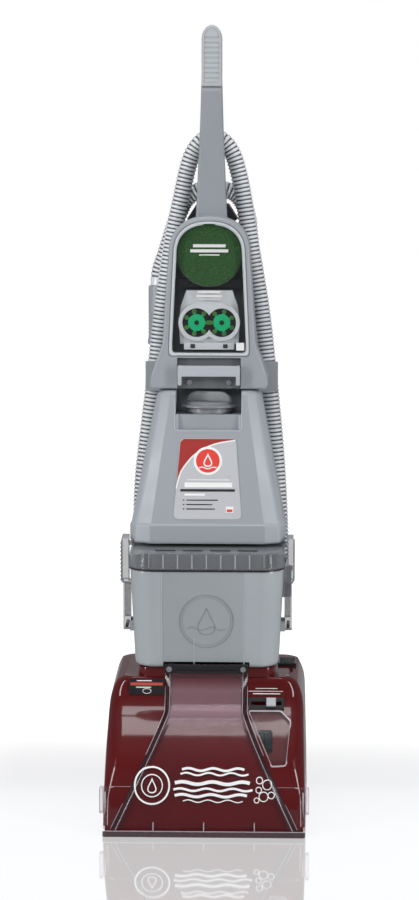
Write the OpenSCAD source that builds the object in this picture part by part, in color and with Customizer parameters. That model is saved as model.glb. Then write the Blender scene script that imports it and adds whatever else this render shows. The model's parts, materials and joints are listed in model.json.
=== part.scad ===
// Upright carpet washer: powered floor head, recovery tank, and a leaning handle
// that carries the clean-water tank, a tool caddy and the stored tool hose.
// Right is +X, back is +Y, up is +Z. The origin is on the floor, under the middle.

/* [Floor head] */
// Width of the clear floor nozzle
nozzle_w = 292; // [280:1:296]
// Width across the two corner guards
guard_w = 303; // [300:1:306]
// Height of the hood's shoulders
hood_top = 208; // [206:1:210]
// Wall thickness of the hood
hood_wall = 3; // [2.5:0.5:3.5]
// Radius of the rear wheels
wheel_r = 65; // [62:1:66]
// Distance between neighbouring brush spindles
brush_pitch = 46; // [46:1:46]
// Number of teeth on each brush gear
brush_teeth = 18; // [18:1:18]
// Number of teeth on the turbine pinion
pinion_teeth = 10; // [10:1:10]

/* [Recovery tank] */
// Half width of the tank at its floor
tank_hw_low = 105; // [103:1:106]
// Half width of the tank at its rim
tank_hw_high = 112.5; // [111:0.5:113]
// Height of the tank rim above the floor
tank_rim = 366; // [362:1:366]
// Height of the lid's top above the floor
lid_top = 394; // [390:1:394]

/* [Handle] */
// Backward lean of the parked handle, in degrees
lean = 4; // [4:0.5:5]
// Half width of the column behind the tanks
column_hw = 70; // [68:1:70]
// Height of the arch's top above the handle pivot
arch_top = 760; // [758:1:762]
// Height of the handle's tip above the handle pivot
handle_tip = 1042; // [1040:1:1060]
// Outside diameter of the tool hose
hose_d = 26; // [24:1:28]

/* [Hidden] */
$fn = 48;
gap = 0.4;       // clearance between neighbouring bodies
fit = 0.05;      // radial clearance of a running fit
e = 1;           // overshoot of a cut

// colours
c_red = [0.33, 0.05, 0.07];
c_grey = [0.62, 0.64, 0.67];
c_dark = [0.20, 0.21, 0.22];
c_black = [0.06, 0.06, 0.07];
c_clear = [0.80, 0.84, 0.88, 0.45];
c_green = [0.05, 0.45, 0.18];
c_steel = [0.75, 0.76, 0.78];

// side profiles of the head, as [y, z]
nozzle_front = [[-210, 0], [-208, 12], [-196, 60], [-175, 105], [-150, 138], [-125, 158],
                [-105, 170], [-92, 185], [-86, 205], [-84, 216]];
hood_front = [[-198, 12], [-188, 60], [-167, 105], [-142, 133], [-118, 153], [-100, 163],
              [-84, 180], [-78, hood_top]];
hood_back = [[60, hood_top], [100, hood_top - 3], [125, 190], [142, 165], [150, 135],
             [150, 12]];
// half outline of the hood seen from the front, as [x, z]
hood_half = [[146, 12], [144.5, 100], [143, 139], [141.5, 171], [139, 183], [135, 194],
             [129, 203], [120, hood_top]];
nozzle_half = [[146, -e], [146, 68], [111, 68], [60, 162], [60, 216]];
window_outline = [[62, 163], [109, 163], [124, 152], [118, 98], [104, 97], [97, 97]];
skin = 2.6;          // nozzle skin thickness, measured along y
slot_back = 46;      // front face of the slot that the handle stands in
slot_hw = 90;        // half width of that slot
wheel_y = 145;
wheel_x = 112;       // inner face of a wheel
wheel_w = 28;
axle_r = 5;
arch_r = wheel_r + 6;
brush_y = -150;
gear_z = 40;
tooth_m = brush_pitch / brush_teeth;
turbine_x = 86;
turbine_gap = tooth_m * (brush_teeth + pinion_teeth) / 2;
turbine_y = brush_y + sqrt(turbine_gap * turbine_gap - pow(2 * brush_pitch - turbine_x, 2));
turbine_dir = atan2(turbine_y - brush_y, turbine_x - 2 * brush_pitch);
motor_y = -20;
motor_r = 55;
// recovery tank
tank_z = 222.4;
tank_mid_y = -17.5;
tank_depth = 135;
latch_x = 118.5;
latch_z = 275;
latch_y = -17;
// handle frame: x, w (depth, back is +), h (height along the handle)
pivot_y = 110;
pivot_z = 105;
pin_r = 8;
col_f = -46;         // w of the column's front face
col_m = -8;          // w of the joint between its halves
col_b = 30;          // w of its back face
cad_f = -112;        // w of the caddy's front face
shelf_h = 282;
sol_z = 398.5;       // height of the clean-water tank's floor above ground
sol_top = 510;
sol_band = 311;
sol_front = -172;
sol_front_top = -130;
sol_back = -47;
cap_h = 478;
ledge_h = 470;      // ledge that the filler neck stands on
recess_h = 448;     // foot of the shallow recess in front of it
recess_w = -131;
cap_w = -96;
cap_r = 41;
brush_off = 18.45;   // sideways distance of a hand brush from the middle
arch_mid = 704;
arch_hw = 60;
rack_w = 92;
rack_h = 776;
grip_x = -82;
grip_w = 79;
grip_r = 16;
grip_low = 560;
grip_high = 650;
// the whole row is centred front to back on its solid parts
rack_back_y = pivot_y + rack_w * cos(lean) + rack_h * sin(lean);
origin_y = (rack_back_y - 210) / 2;
hose_r = hose_d / 2;
// centreline of the hose in the handle frame, as [x, w, h]
hose_path = [
  [104, 46, 226.4], [104, 46, 262], [99, 46, 372], [88, 46, 494], [74, 46, 618], [55, 46, 730],
  [46, 46, 789], [38, 46, 826], [30, 46, 850], [17, 46, 868], [0, 46, 875], [-17, 46, 868],
  [-30, 46, 850], [-38, 46, 826], [-46, 46, 789], [-56, 46, 742], [-75, 46, 618], [-89, 46, 494],
  [-98, 46, 420], [-105, 46, 350], [-105, 47, 290], [-92, 49, 242], [-62, 53, 212], [-22, 60, 200],
  [22, 68, 200], [62, 71, 214], [86, 73, 244], [92, 74, 290], [87, 74, 360], [72, 74, 510],
  [56, 74, 722], [52, 74, 756], [42, 74, 780], [26, 74, 793], [-20, 74, 794], [-40, 74, 781],
  [-53, 75, 756], [-72, 77, 698], [-81, 79, 670], [-82, 79, 650]
];
hose_sides = 12;

// ---------- helpers ----------
module row() { translate([0, -origin_y, 0]) children(); }
module leaning() { row() translate([0, pivot_y, pivot_z]) rotate([-lean, 0, 0]) children(); }
// extrudes a [y, z] shape along x, or an [x, z] shape along y
module along_x(x0, x1) { translate([x0, 0, 0]) rotate([90, 0, 90]) linear_extrude(x1 - x0) children(); }
module along_y(y0, y1) { translate([0, y1, 0]) rotate([90, 0, 0]) linear_extrude(y1 - y0) children(); }
module pin_x(r, x0, x1) { translate([x0, 0, 0]) rotate([0, 90, 0]) cylinder(r = r, h = x1 - x0); }
module pin_y(r, y0, y1) { translate([0, y0, 0]) rotate([-90, 0, 0]) cylinder(r = r, h = y1 - y0); }
module both_sides() {
  children();
  mirror([1, 0, 0]) children();
}
module block(lo, hi) { translate(lo) cube(hi - lo); }
module round_rect(w, d, r) {
  square([w - 2 * r, d], center = true);
  square([w, d - 2 * r], center = true);
  for (x = [-1, 1], y = [-1, 1]) translate([x * (w / 2 - r), y * (d / 2 - r)]) circle(r);
}
function mirrored(half) = concat(half, [for (i = [len(half) - 1:-1:0]) [-half[i].x, half[i].y]]);
function shifted(pts, d) = [for (p = pts) p + d];
function narrowed(half, t) = [for (p = half) [p.x - t, p.y - t]];
function lerp(a, b, t) = a + (b - a) * t;

// ---------- floor head ----------
module hood_solid(t) {
  front = shifted(hood_front, [t * 0.9, -t * 0.75]);
  back = shifted(hood_back, [-t, -t]);
  difference() {
    intersection() {
      along_x(-150, 150) polygon(concat([[front[0].x, 12 - 2 * t]], front, back));
      along_y(-220, 170) polygon(mirrored(concat([[146 - t, 12 - 2 * t]], narrowed(hood_half, t))));
    }
    translate([0, wheel_y, wheel_r]) pin_x(arch_r + t, -160, 160);
    block([-slot_hw - t, slot_back - t, -e], [slot_hw + t, 170, 300]);
  }
  translate([0, -15 + t / 2, hood_top - 20]) linear_extrude(34 - t) round_rect(200 - 2 * t, 119 - t, 18 - t);
}
module hood_shell() {
  difference() {
    hood_solid(0);
    hood_solid(hood_wall);
  }
}
module window_shape(inset) {
  along_y(-205, -60) offset_outline(window_outline, inset);
}
module offset_outline(pts, inset) {
  mid = [96, 130];
  k = 1 - inset / 30;
  polygon([for (p = pts) mid + (p - mid) * k]);
}
// the sloping control panel: x, then up the slope, then outwards
module panel() { translate([0, -92, 171.5]) rotate([46.7, 0, 0]) children(); }
module steep_panel() { translate([0, -81, 194]) rotate([77.9, 0, 0]) children(); }

module hood() color(c_red) row() {
  difference() {
    hood_shell();
    window_shape(0);
    panel() block([62, -3, -8], [112, 3, 4]);
    block([103, 4, hood_top - 6], [131, 45, hood_top + e]);
    block([-87.5, slot_back - 6, -e], [87.5, slot_back + 4, 62]);
    translate([0, motor_y, 200]) cylinder(r = 24, h = 40);
  }
}
module turbine_window() color(c_clear) row() intersection() {
  hood_shell();
  window_shape(0.4);
}
module nozzle_layer() {
  difference() {
    along_x(-160, 160) polygon(concat(nozzle_front, [[-60, 216], [-60, 0]]));
    along_x(-170, 170) polygon(concat([[-198 - gap, -e]], shifted(hood_front, [-gap, gap]),
      [[-78 - gap, 230], [-50, 230], [-50, -e]]));
  }
}
module floor_nozzle() color(c_clear) row() {
  difference() {
    intersection() {
      nozzle_layer();
      along_y(-220, -50) polygon(mirrored(nozzle_half));
    }
    intersection() {
      along_x(-160, 160) polygon(concat(shifted(nozzle_front, [skin, -0.8]),
        [[-50, 230], [-50, -5]]));
      along_y(-220, -50) polygon(mirrored([[143.5, -5], [143.5, 65.5], [110, 65.5], [57.5, 161], [57.5,
        230]]));
    }
  }
  block([-nozzle_w / 2, -210, 0], [nozzle_w / 2, -206, 8]);
  block([-nozzle_w / 2 + 3, -198, 1], [nozzle_w / 2 - 3, -195.5, 12]);
  for (x = [-73, 0, 73]) block([x - 1, -207, 3], [x + 1, -199, 20]);
}
module nozzle_seal_bar() color(c_black) row() difference() {
  block([-61, -94, 217], [61, -86, 229]);
  for (x = [-54, 54]) translate([x, 0, 223]) pin_y(2, -95, -85);
  block([-46, -95, 221], [46, -92.5, 222.5]);
}
module nozzle_screws() color(c_steel) row() {
  for (x = [-54, 54]) translate([x, 0, 223]) {
    pin_y(2, -94, -86.5);
    difference() {
      pin_y(4, -96, -94);
      block([-3, -97, -0.5], [3, -95, 0.5]);
    }
  }
}
module corner_guards() color(c_dark) row() both_sides() {
  translate([(nozzle_w + guard_w) / 4 + 0.1, -182, 30])
    linear_extrude(37) round_rect((guard_w - nozzle_w) / 2 - 0.4, 18, 2);
}
module slider_plate() color(c_black) row() panel() difference() {
  block([62, -10, 0.3], [114, 10, 1.8]);
  block([66, -3, -e], [110, 3, 3]);
}
module speed_slider() color(c_grey) row() panel() {
  block([88, -7, 2.2], [102, 7, 7]);
  block([92, -2, -5], [98, 2, 2.3]);
}
module selector_label() color(c_black) row() steep_panel() block([-113, -12, 0.1], [-62, 11, 1]);

// involute gear, centred on the origin, with a tooth on the +x axis
function roll(r, base) = let (a = acos(min(1, base / r))) tan(a) * 180 / PI - a;
function half_tooth(r, n, base) =
  (90 - 14 * 18 / n / n) / n - 0.35 + roll(tooth_m * n / 2, base) - roll(max(r, base), base);
module gear_shape(n) {
  pitch_r = tooth_m * n / 2;
  base = pitch_r * cos(25);
  root = pitch_r - tooth_m;
  tip = pitch_r + 0.8 * tooth_m;
  radii = [for (i = [0:4]) lerp(max(root, base), tip, i / 4)];
  flank = concat([[root - 0.5, half_tooth(base, n, base)]], [for (r = radii) [r, half_tooth(r, n, base)]]);
  circle(root, $fn = 4 * n);
  for (k = [0:n - 1]) rotate(k * 360 / n)
    polygon(concat([for (f = flank) [f[0] * cos(f[1]), f[0] * sin(f[1])]],
      [for (i = [len(flank) - 1:-1:0]) [flank[i][0] * cos(flank[i][1]), -flank[i][0] * sin(flank[i][1])]]));
}
module brush(k) color(c_dark) row() translate([(k - 3) * brush_pitch, brush_y, 0]) {
  rotate(k % 2 == 1 ? 0 : 180 / brush_teeth) translate([0, 0, gear_z]) linear_extrude(8)
    gear_shape(brush_teeth);
  translate([0, 0, 34]) cylinder(r = 20, h = gear_z - 34);
  translate([0, 0, gear_z]) cylinder(r = 4, h = 24);
  for (a = [0:60:300]) rotate(a) translate([14.5, 0, 3]) cylinder(r = 4.2, h = 32, $fn = 20);
}
module brush_carrier() color(c_black) row() difference() {
  translate([0, -140, 50]) linear_extrude(10) round_rect(250, 76, 14);
  for (k = [-2:2]) translate([k * brush_pitch, brush_y, 40]) cylinder(r = 4 + fit, h = 30);
  translate([turbine_x, turbine_y, 40]) cylinder(r = 3 + fit, h = 30);
}
module turbine_rotor() color([0.1, 0.3, 0.32]) row() translate([turbine_x, turbine_y, 0]) {
  rotate(turbine_dir + 180 + turbine_dir * brush_teeth / pinion_teeth + 180 / pinion_teeth)
    translate([0, 0, gear_z]) linear_extrude(8) gear_shape(pinion_teeth);
  translate([0, 0, gear_z]) cylinder(r = 3, h = 96);
  translate([0, 0, 112]) cylinder(r = 13, h = 2);
  translate([0, 0, 136]) cylinder(r = 13, h = 2);
  for (a = [0:36:324]) rotate(a) block([1, -0.7, 113], [12.4, 0.7, 137]);
}
module chassis() color(c_dark) row() {
  difference() {
    union() {
      block([-136, -99, 12], [136, 40, 16]);
      for (x = [-136, 132]) block([x, -99, 12], [x + 4, 40, 50]);
      block([-136, -99, 12], [136, -95, 50]);
      block([-136, 36, 12], [136, 40, 50]);
      block([-86, 36, 12], [86, 166, 24]);
      both_sides() {
        block([71, 36, 20], [86, 100, 60]);
        block([71, 84, 20], [84, 136, 120]);
        block([71, 100, 20], [86, 165, 84]);
        block([58, -96, 7], [64, -72, 30]);
      }
      for (x = [-64, -21]) block([x, 146, 20], [x + 3, 162, 56]);
    }
    translate([0, pivot_y, pivot_z]) pin_x(pin_r, -100, 100);
    translate([0, wheel_y, wheel_r]) pin_x(axle_r, -100, 100);
    translate([0, -84, 12.5]) pin_x(3 + fit, -90, 90);
    translate([0, 154, 48]) pin_x(4 + fit, -70, -15);
    both_sides() block([37, -97, 8], [57, -71, 18]);
    block([-58, -89, 8], [58, -79, 18]);
    translate([0, motor_y, 0]) cylinder(r = 30, h = 20);
  }
}
module rear_axle() color(c_steel) row() translate([0, wheel_y, wheel_r]) {
  pin_x(axle_r, -wheel_x - wheel_w - 2, wheel_x + wheel_w + 2);
  both_sides() pin_x(8, wheel_x + wheel_w + gap, wheel_x + wheel_w + 3);
}
module wheel() {
  rotate([0, 90, 0]) {
    difference() {
      rotate_extrude($fn = 64) polygon([[axle_r + fit, 0], [14, 0], [14, 10], [wheel_r - 14, 12],
        [wheel_r - 10, 0], [wheel_r - 3, 1], [wheel_r, 5], [wheel_r, wheel_w - 5],
        [wheel_r - 3, wheel_w - 1], [wheel_r - 10, wheel_w], [wheel_r - 14, 18], [14, 20],
        [14, wheel_w], [axle_r + fit, wheel_w]]);
      for (a = [0:60:300]) rotate(a) translate([32, 0, 5]) cylinder(r = 7, h = 20);
    }
  }
}
module wheel_right() color(c_black) row() translate([wheel_x, wheel_y, wheel_r]) wheel();
module wheel_left() color(c_black) row() mirror([1, 0, 0]) translate([wheel_x, wheel_y, wheel_r]) wheel();
module front_wheels() color(c_black) row() translate([0, -84, 12.5]) {
  pin_x(3, -66, 66);
  for (x = [-55, 39]) pin_x(11.5, x, x + 16);
}
module pivot_pins() color(c_steel) row() translate([0, pivot_y, pivot_z]) both_sides() pin_x(pin_r, 48, 86);
module motor_housing() color(c_dark) row() translate([0, motor_y, 0]) difference() {
  translate([0, 0, 16.2]) cylinder(r = motor_r, h = 178.8);
  translate([0, 0, 34]) cylinder(r = motor_r - 3, h = 157);
  translate([0, 0, 10]) cylinder(r = 4 + fit, h = 40);
  for (a = [0:45:315]) rotate(a) translate([30, 0, 185]) cylinder(r = 7, h = 20);
}
module motor_rotor() color(c_steel) row() translate([0, motor_y, 0]) {
  translate([0, 0, 30]) cylinder(r = 4, h = 145);
  translate([0, 0, 60]) cylinder(r = 30, h = 60);
  translate([0, 0, 122]) cylinder(r = 16, h = 14);
  translate([0, 0, 150]) cylinder(r = 46, h = 3);
  for (a = [0:40:320]) rotate(a) block([8, -1, 152], [46, 1, 168]);
}
module power_pedal() color(c_black) row() {
  block([112, 18, hood_top - 18], [122, 30, hood_top - 1]);
  block([103.5, 4.5, hood_top - 2], [130.5, 44.5, hood_top + 4]);
  for (y = [10:6:40]) block([106, y, hood_top + 3.5], [128, y + 2.5, hood_top + 5]);
}
module release_pedal() color(c_black) row() {
  block([-60, 166, 62], [-22, 204, 66]);
  block([-46, 152, 48], [-36, 168, 64]);
  translate([0, 154, 48]) pin_x(4, -66, -16);
}

// ---------- recovery tank ----------
module tank_slice(z, hw, depth, r) {
  translate([0, tank_mid_y, z]) linear_extrude(0.5) round_rect(2 * hw, depth, r, $fn = 32);
}
module tank_body(inset) {
  hull() {
    tank_slice(tank_z + inset, tank_hw_low - inset, tank_depth - 3 - 2 * inset, 32 - inset);
    tank_slice(tank_rim - 0.5 + (inset > 0 ? e : 0), tank_hw_high - inset, tank_depth - 2 * inset,
      34 - inset);
  }
}
module recovery_tank() color([0.62, 0.65, 0.68, 0.8]) row() {
  difference() {
    union() {
      difference() {
        tank_body(0);
        tank_body(3);
      }
      intersection() {
        tank_body(0);
        block([-66, -110, tank_z], [66, 60, 235]);
      }
      both_sides() for (y = [-17, 13]) block([106, latch_y + y - 2, latch_z - 7], [latch_x + 4,
        latch_y + y + 6, latch_z + 7]);
    }
    block([-63, -110, tank_z - e], [63, 60, 231.5]);
    both_sides() translate([latch_x, 0, latch_z]) pin_y(2.5, -60, 30);
  }
}
module latch_pins() color(c_dark) row() both_sides()
  translate([latch_x, 0, latch_z]) pin_y(2.5, latch_y - 19, latch_y + 19);
module latch() {
  row() {
    difference() {
      union() {
        block([113, latch_y - 10, latch_z - 7], [124, latch_y + 10, 341]);
        block([116, latch_y - 20, 340], [126, latch_y + 20, 406]);
        block([109.5, latch_y - 12, lid_top + 0.7], [120, latch_y + 12, lid_top + 3.7]);
        for (z = [344:6:400]) translate([126, 0, z]) pin_y(2, latch_y - 18, latch_y + 18);
      }
      translate([latch_x, 0, latch_z]) pin_y(2.5 + fit, -60, 30);
      block([112, latch_y - 7, latch_z + 12], [122, latch_y + 7, 336]);
    }
  }
}
module lid_latch_right() color(c_clear) latch();
module lid_latch_left() color(c_clear) mirror([1, 0, 0]) latch();
module lid_plan(grow) { translate([0, tank_mid_y]) round_rect(231 + 2 * grow, 141 + 2 * grow, 38 + grow); }
module lid_gasket() color(c_black) row() translate([0, 0, tank_rim]) linear_extrude(2.4) difference() {
  lid_plan(-1);
  lid_plan(-7);
}
module tank_lid() color(c_clear) row() {
  difference() {
    translate([0, 0, tank_rim + 2.4]) linear_extrude(lid_top - tank_rim - 2.4) lid_plan(0);
    translate([0, 0, tank_rim - e]) linear_extrude(lid_top - tank_rim - 2) lid_plan(-3);
  }
  for (x = [-63, -42, -21, 0, 21, 42, 63]) block([x - 1, -89.2, tank_rim + 5], [x + 1, -87, lid_top - 1]);
}
module standpipe() color(c_clear) row() {
  translate([0, 22, 235]) difference() {
    cylinder(r = 20, h = 110);
    translate([0, 0, -e]) cylinder(r = 17.5, h = 112);
  }
  translate([0, -34, 318]) difference() {
    cylinder(r = 19, h = 72);
    translate([0, 0, 2]) cylinder(r = 16.5, h = 80);
    for (a = [0:60:300]) rotate(a) block([10, -4, 6], [20, 4, 38]);
  }
}
module float() color([0.9, 0.9, 0.88]) row() translate([0, -34, 320.5]) cylinder(r = 15.5, h = 22);

// ---------- handle ----------
module column_outline(hw, top_inset) {
  translate([-hw, 30]) square([2 * hw, 475]);
  polygon(mirrored([[hw, 500], [hw, 560], [62 - top_inset, 637], [arch_hw - 2 - top_inset, arch_mid]]));
  arch_shape(arch_hw - 2 - top_inset, arch_top - 6 - arch_mid - top_inset);
}
// rounded arch top, a little squarer than a half circle
module arch_shape(rx, ry) {
  polygon([for (i = [0:24]) let (a = 7.5 * i, c = cos(a), s = sin(a))
    [rx * sign(c) * pow(abs(c), 0.85), arch_mid + ry * pow(abs(s), 0.85)]]);
}
module column_half(w0, w1, open_side) {
  difference() {
    along_y(w0, w1) column_outline(column_hw, 0);
    along_y(open_side > 0 ? w0 + 3 : w0 - e, open_side > 0 ? w1 + e : w1 - 3)
      difference() {
        translate([-column_hw + 3, 40]) square([2 * column_hw - 6, 700]);
        difference() {
          translate([-100, 500]) square([200, 300]);
          column_outline(column_hw - 3, 3);
        }
      }
  }
}
module column_front() color(c_grey) leaning() {
  column_half(col_f, col_m, 1);
  difference() {
    block([-60, col_f - 20, shelf_h], [60, col_f, shelf_h + 12]);
    rotate([lean, 0, 0]) block([-70, -200, sol_z - pivot_z - gap], [70, 0, 400]);
  }
  translate([0, -57, 264]) cylinder(r = 9, h = 19);
}
module column_rear() color(c_grey) leaning() difference() {
  union() {
    difference() {
      column_half(col_m, col_b, -1);
      translate([0, 4, 740]) cylinder(r = 3, h = 30);
    }
    pin_x(26, -68, 68);
    block([-60, col_m, 10], [60, 26, 46]);
  }
  pin_x(pin_r + fit, -69, -47);
  pin_x(pin_r + fit, 47, 69);
}
module hose_port() color(c_dark) leaning() {
  difference() {
    translate([104, 46, 180]) cylinder(r = 17, h = 40);
    translate([104, 46, 186]) cylinder(r = 10, h = 40);
  }
  block([column_hw + 0.2, 20, 184], [92, 44, 208]);
  translate([104, 46, 220]) difference() {
    cylinder(r = 19, h = 6);
    translate([0, 0, -e]) cylinder(r = 10, h = 8);
  }
}
module hose_bracket() color(c_grey) leaning() {
  both_sides() block([column_hw + 0.2, 24, 493], [100, 30, 538]);
  difference() {
    union() {
      translate([grip_x, grip_w, 590]) cylinder(r = grip_r + 3, h = 14);
      block([-61, col_b + 0.2, 590], [-57, 88, 604]);
      block([-70, 82, 590], [-57, 88, 604]);
    }
    translate([grip_x, grip_w, 589]) cylinder(r = grip_r + 0.4, h = 18);
    block([-110, 50, 589], [-62.5, 77, 605]);
    block([-110, 60, 589], [-84, 100, 605]);
  }
}
module hose_rack() color(c_black) leaning() {
  difference() {
    along_y(col_b + 0.2, rack_w) polygon([[-14, 735], [14, 735], [38, 752], [24, 774], [12, rack_h],
      [-12, rack_h],
      [-24, 774], [-38, 752]]);
    block([-30, 40, 742], [30, 84, 766]);
  }
  translate([0, 0, 847]) pin_y(10, 14.2, 62);
  block([-7, 59.5, 848], [7, 62, 872]);
}
// handle shaft: half widths against height
shaft_low = arch_top - 5.6;
shaft_half = [[24, 744], [22.7, 767], [20.2, 827], [17.5, 886], [15.7, 945], [15.2, 962], [15.2, 1004]];
module shaft_outline(inset) {
  polygon(mirrored([for (p = shaft_half) [p.x - inset, p.y]]));
  translate([0, handle_tip - 22]) scale([1, 1.44]) circle(15.2 - inset);
  translate([inset - 15.2, 1000]) square([30.4 - 2 * inset, handle_tip - 1022]);
}
module handle_shaft() color(c_grey) leaning() difference() {
  intersection() {
    along_y(-16, -0.1) shaft_outline(0);
    along_x(-30, 30) polygon([[-16, shaft_low], [-14, 940], [-13, 950], [-0.1, 950], [-0.1, shaft_low]]);
  }
  block([-7, -9, 730], [7, e, 946]);
}
module handle_back() color(c_grey) leaning() difference() {
  along_y(0, 14) shaft_outline(0);
  block([-7, -e, 730], [7, 10, 990]);
  block([-5, 5, 930], [5, 20, 984]);
  block([-40, -e, 730], [40, 20, shaft_low]);
}
module grip() color(c_grey) leaning() difference() {
  intersection() {
    along_y(-15, -0.1) shaft_outline(0);
    block([-30, -16, 950.4], [30, 0, 1060]);
  }
  for (i = [0:8]) block([-20, -17, 962 + 7.5 * i], [20, -13, 964.5 + 7.5 * i]);
}
module trigger() color(c_black) leaning() {
  block([-4.5, 4, 932], [4.5, 22, 938]);
  block([-4.5, 16, 932], [4.5, 22, 982]);
  translate([0, 16, 976]) pin_x(5, -4.5, 4.5);
}
module trigger_rod() color(c_steel) leaning() translate([0, 4, 300]) cylinder(r = 1.5, h = 630);
module shoulder_outline(t) {
  polygon(mirrored([[87 - t, 506 + t], [87 - t, 522], [78 - t, 549], [69 - t, 572], [65 - t, 637],
    [arch_hw - t, arch_mid]]));
  arch_shape(arch_hw - t, arch_top - arch_mid - t);
}
module door_outline(t) {
  polygon(mirrored([[57 - t, 557 + t], [57 - t, 575], [54 - t, 640], [51 - t, arch_mid]]));
  arch_shape(51 - t, arch_top - 9 - arch_mid - t);
}
module caddy_frame() color(c_grey) leaning() difference() {
  along_y(cad_f, col_f - 0.2) shoulder_outline(0);
  along_y(cad_f + 3, col_f + e) difference() {
    shoulder_outline(3);
    translate([-100, 480]) square([200, 74]);
  }
  along_y(cad_f - e, cad_f + 5) door_outline(0);
  block([-47, cad_f - e, 490], [47, -98, 552]);
  block([-60, -94, 510], [60, 0, 550]);
}
module caddy_back() color(c_dark) leaning() along_y(-50, col_f - 0.2) intersection() {
  shoulder_outline(3.2);
  translate([-100, 554.4]) square([200, 240]);
}
module caddy_door() color(c_clear) leaning() difference() {
  union() {
    along_y(cad_f, cad_f + 2.4) door_outline(1);
    translate([0, cad_f + 1.5, 560.2]) pin_x(1.5, -50, 50);
    block([40, cad_f - 1.5, 562], [52, cad_f + 0.5, 574]);
  }
  block([-7, cad_f - e, arch_top - 16], [7, cad_f + 5, arch_top]);
}
module tool_clip() color(c_black) leaning() {
  block([-58, -88.6, 655], [58, -84.6, 668]);
}
module scrub_pad() color(c_green) leaning() translate([0, 0, 706]) {
  pin_y(49.5, -104.4, -90);
  pin_y(30, -90, -80);
}
module hand_tool() color(c_grey) leaning() difference() {
  union() {
    along_y(-99, -72) polygon(mirrored([[43, 572], [45, 604], [42, 628], [34, 651]]));
    both_sides() translate([brush_off, 0, 603.6]) pin_y(27, -105.8, -98);
    along_y(-105.8, -98) polygon(mirrored([[34, 590], [30, 626], [20, 634]]));
    block([-37, -106, 564], [37, -76, 574]);
  }
  both_sides() translate([brush_off, 0, 603.6]) {
    pin_y(21.2, -110, -101);
    pin_y(3 + fit, -110, -80);
  }
}
module hand_brush(side) color(c_green) leaning() translate([side * brush_off, 0, 603.6]) {
  pin_y(3, -103, -81);
  pin_y(12.5, -104.5, -101.4);
  for (k = [0:6]) rotate([0, -(side < 0 ? 180 / 7 : 180) - k * 360 / 7, 0]) {
    translate([16.8, 0, 0]) pin_y(3.3, -107, -101.8);
    block([8, -104.2, -1.8], [16, -102, 1.8]);
  }
}
module tank_latch() color(c_grey) leaning() {
  block([-45, -126, 525], [45, -114, 541]);
  both_sides() block([40, -126, 512], [46, -101.8, 541]);
}
module latch_plate() color(c_dark) leaning() {
  difference() {
    block([-46.6, -101, 507], [46.6, -98.2, 551]);
    for (x = [-29, 29]) translate([x, 0, 515]) pin_y(2, -110, -90);
  }
  for (x = [-29, 29]) translate([x, 0, 515]) pin_y(4, -103, -101);
}

// ---------- clean-water tank ----------
// plan of the tank at one height: side half width, front half width, front w
module sol_plan(h, side, front, w) {
  translate([0, 0, h]) linear_extrude(0.5) polygon(mirrored([[side, sol_back], [side, lerp(w, sol_back, 0.3)],
    [front, w]]));
}
module sol_band_block() {
  hull() {
    sol_plan(280, 114.5, 84, sol_front);
    sol_plan(sol_band, 114.5, 84, sol_front);
  }
}
module sol_body(t) {
  hull() {
    sol_plan(sol_band - (t > 0 ? 30 : 0), 112.4 - t, 82 - t, sol_front + 3 + t);
    sol_plan(sol_top - 12 - t, 86 - t, 66 - t, sol_front_top + t);
  }
  hull() {
    sol_plan(sol_top - 12.5 - t, 86 - t, 66 - t, sol_front_top + t);
    sol_plan(sol_top - 6 - t, 80.5 - t, 62 - t, sol_front_top + 6 + t);
  }
}
module solution_tank() color([0.62, 0.64, 0.67, 0.9]) leaning() {
  difference() {
    union() {
      sol_band_block();
      sol_body(0);
    }
    difference() {
      intersection() {
        sol_body(3);
        block([-200, -300, 200], [200, sol_back - 3, 600]);
      }
      block([-52, -200, ledge_h - 3], [52, 0, 600]);
      block([-52, -200, recess_h - 3], [52, recess_w + 3, 600]);
      rotate([lean, 0, 0]) block([-200, -400, 0], [200, 100, sol_z + 3 - pivot_z]);
    }
    block([-48.5, -200, ledge_h], [48.5, cap_w + cap_r + 4, 600]);
    block([-48.5, -200, recess_h], [48.5, recess_w, 600]);
    rotate([lean, 0, 0]) block([-200, -400, 0], [200, 100, sol_z - pivot_z]);
    translate([0, cap_w, 400]) cylinder(r = 26, h = 90);
  }
  translate([0, cap_w, ledge_h - 3]) difference() {
    cylinder(r = 30, h = 9);
    translate([0, 0, -e]) cylinder(r = 26, h = 11);
  }
}
module tank_cap() color(c_grey) leaning() translate([0, cap_w, 0]) {
  difference() {
    translate([0, 0, cap_h - 6]) cylinder(r = 34, h = 7);
    translate([0, 0, cap_h - 7]) cylinder(r = 30.5, h = 5.5);
  }
  translate([0, 0, cap_h]) cylinder(r = cap_r, h = 10);
  rotate(-20) block([-36, -4, cap_h + 9], [36, 4, cap_h + 24]);
}
module tank_label() color([0.85, 0.85, 0.86]) leaning()
  translate([0, sol_front + 2.8, sol_band]) rotate([-atan((sol_front_top - sol_front - 3)
    / (sol_top - 12 - sol_band)), 0, 0])
    along_y(-0.8, 0) polygon(mirrored([[50, 8], [41, 127]]));

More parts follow.
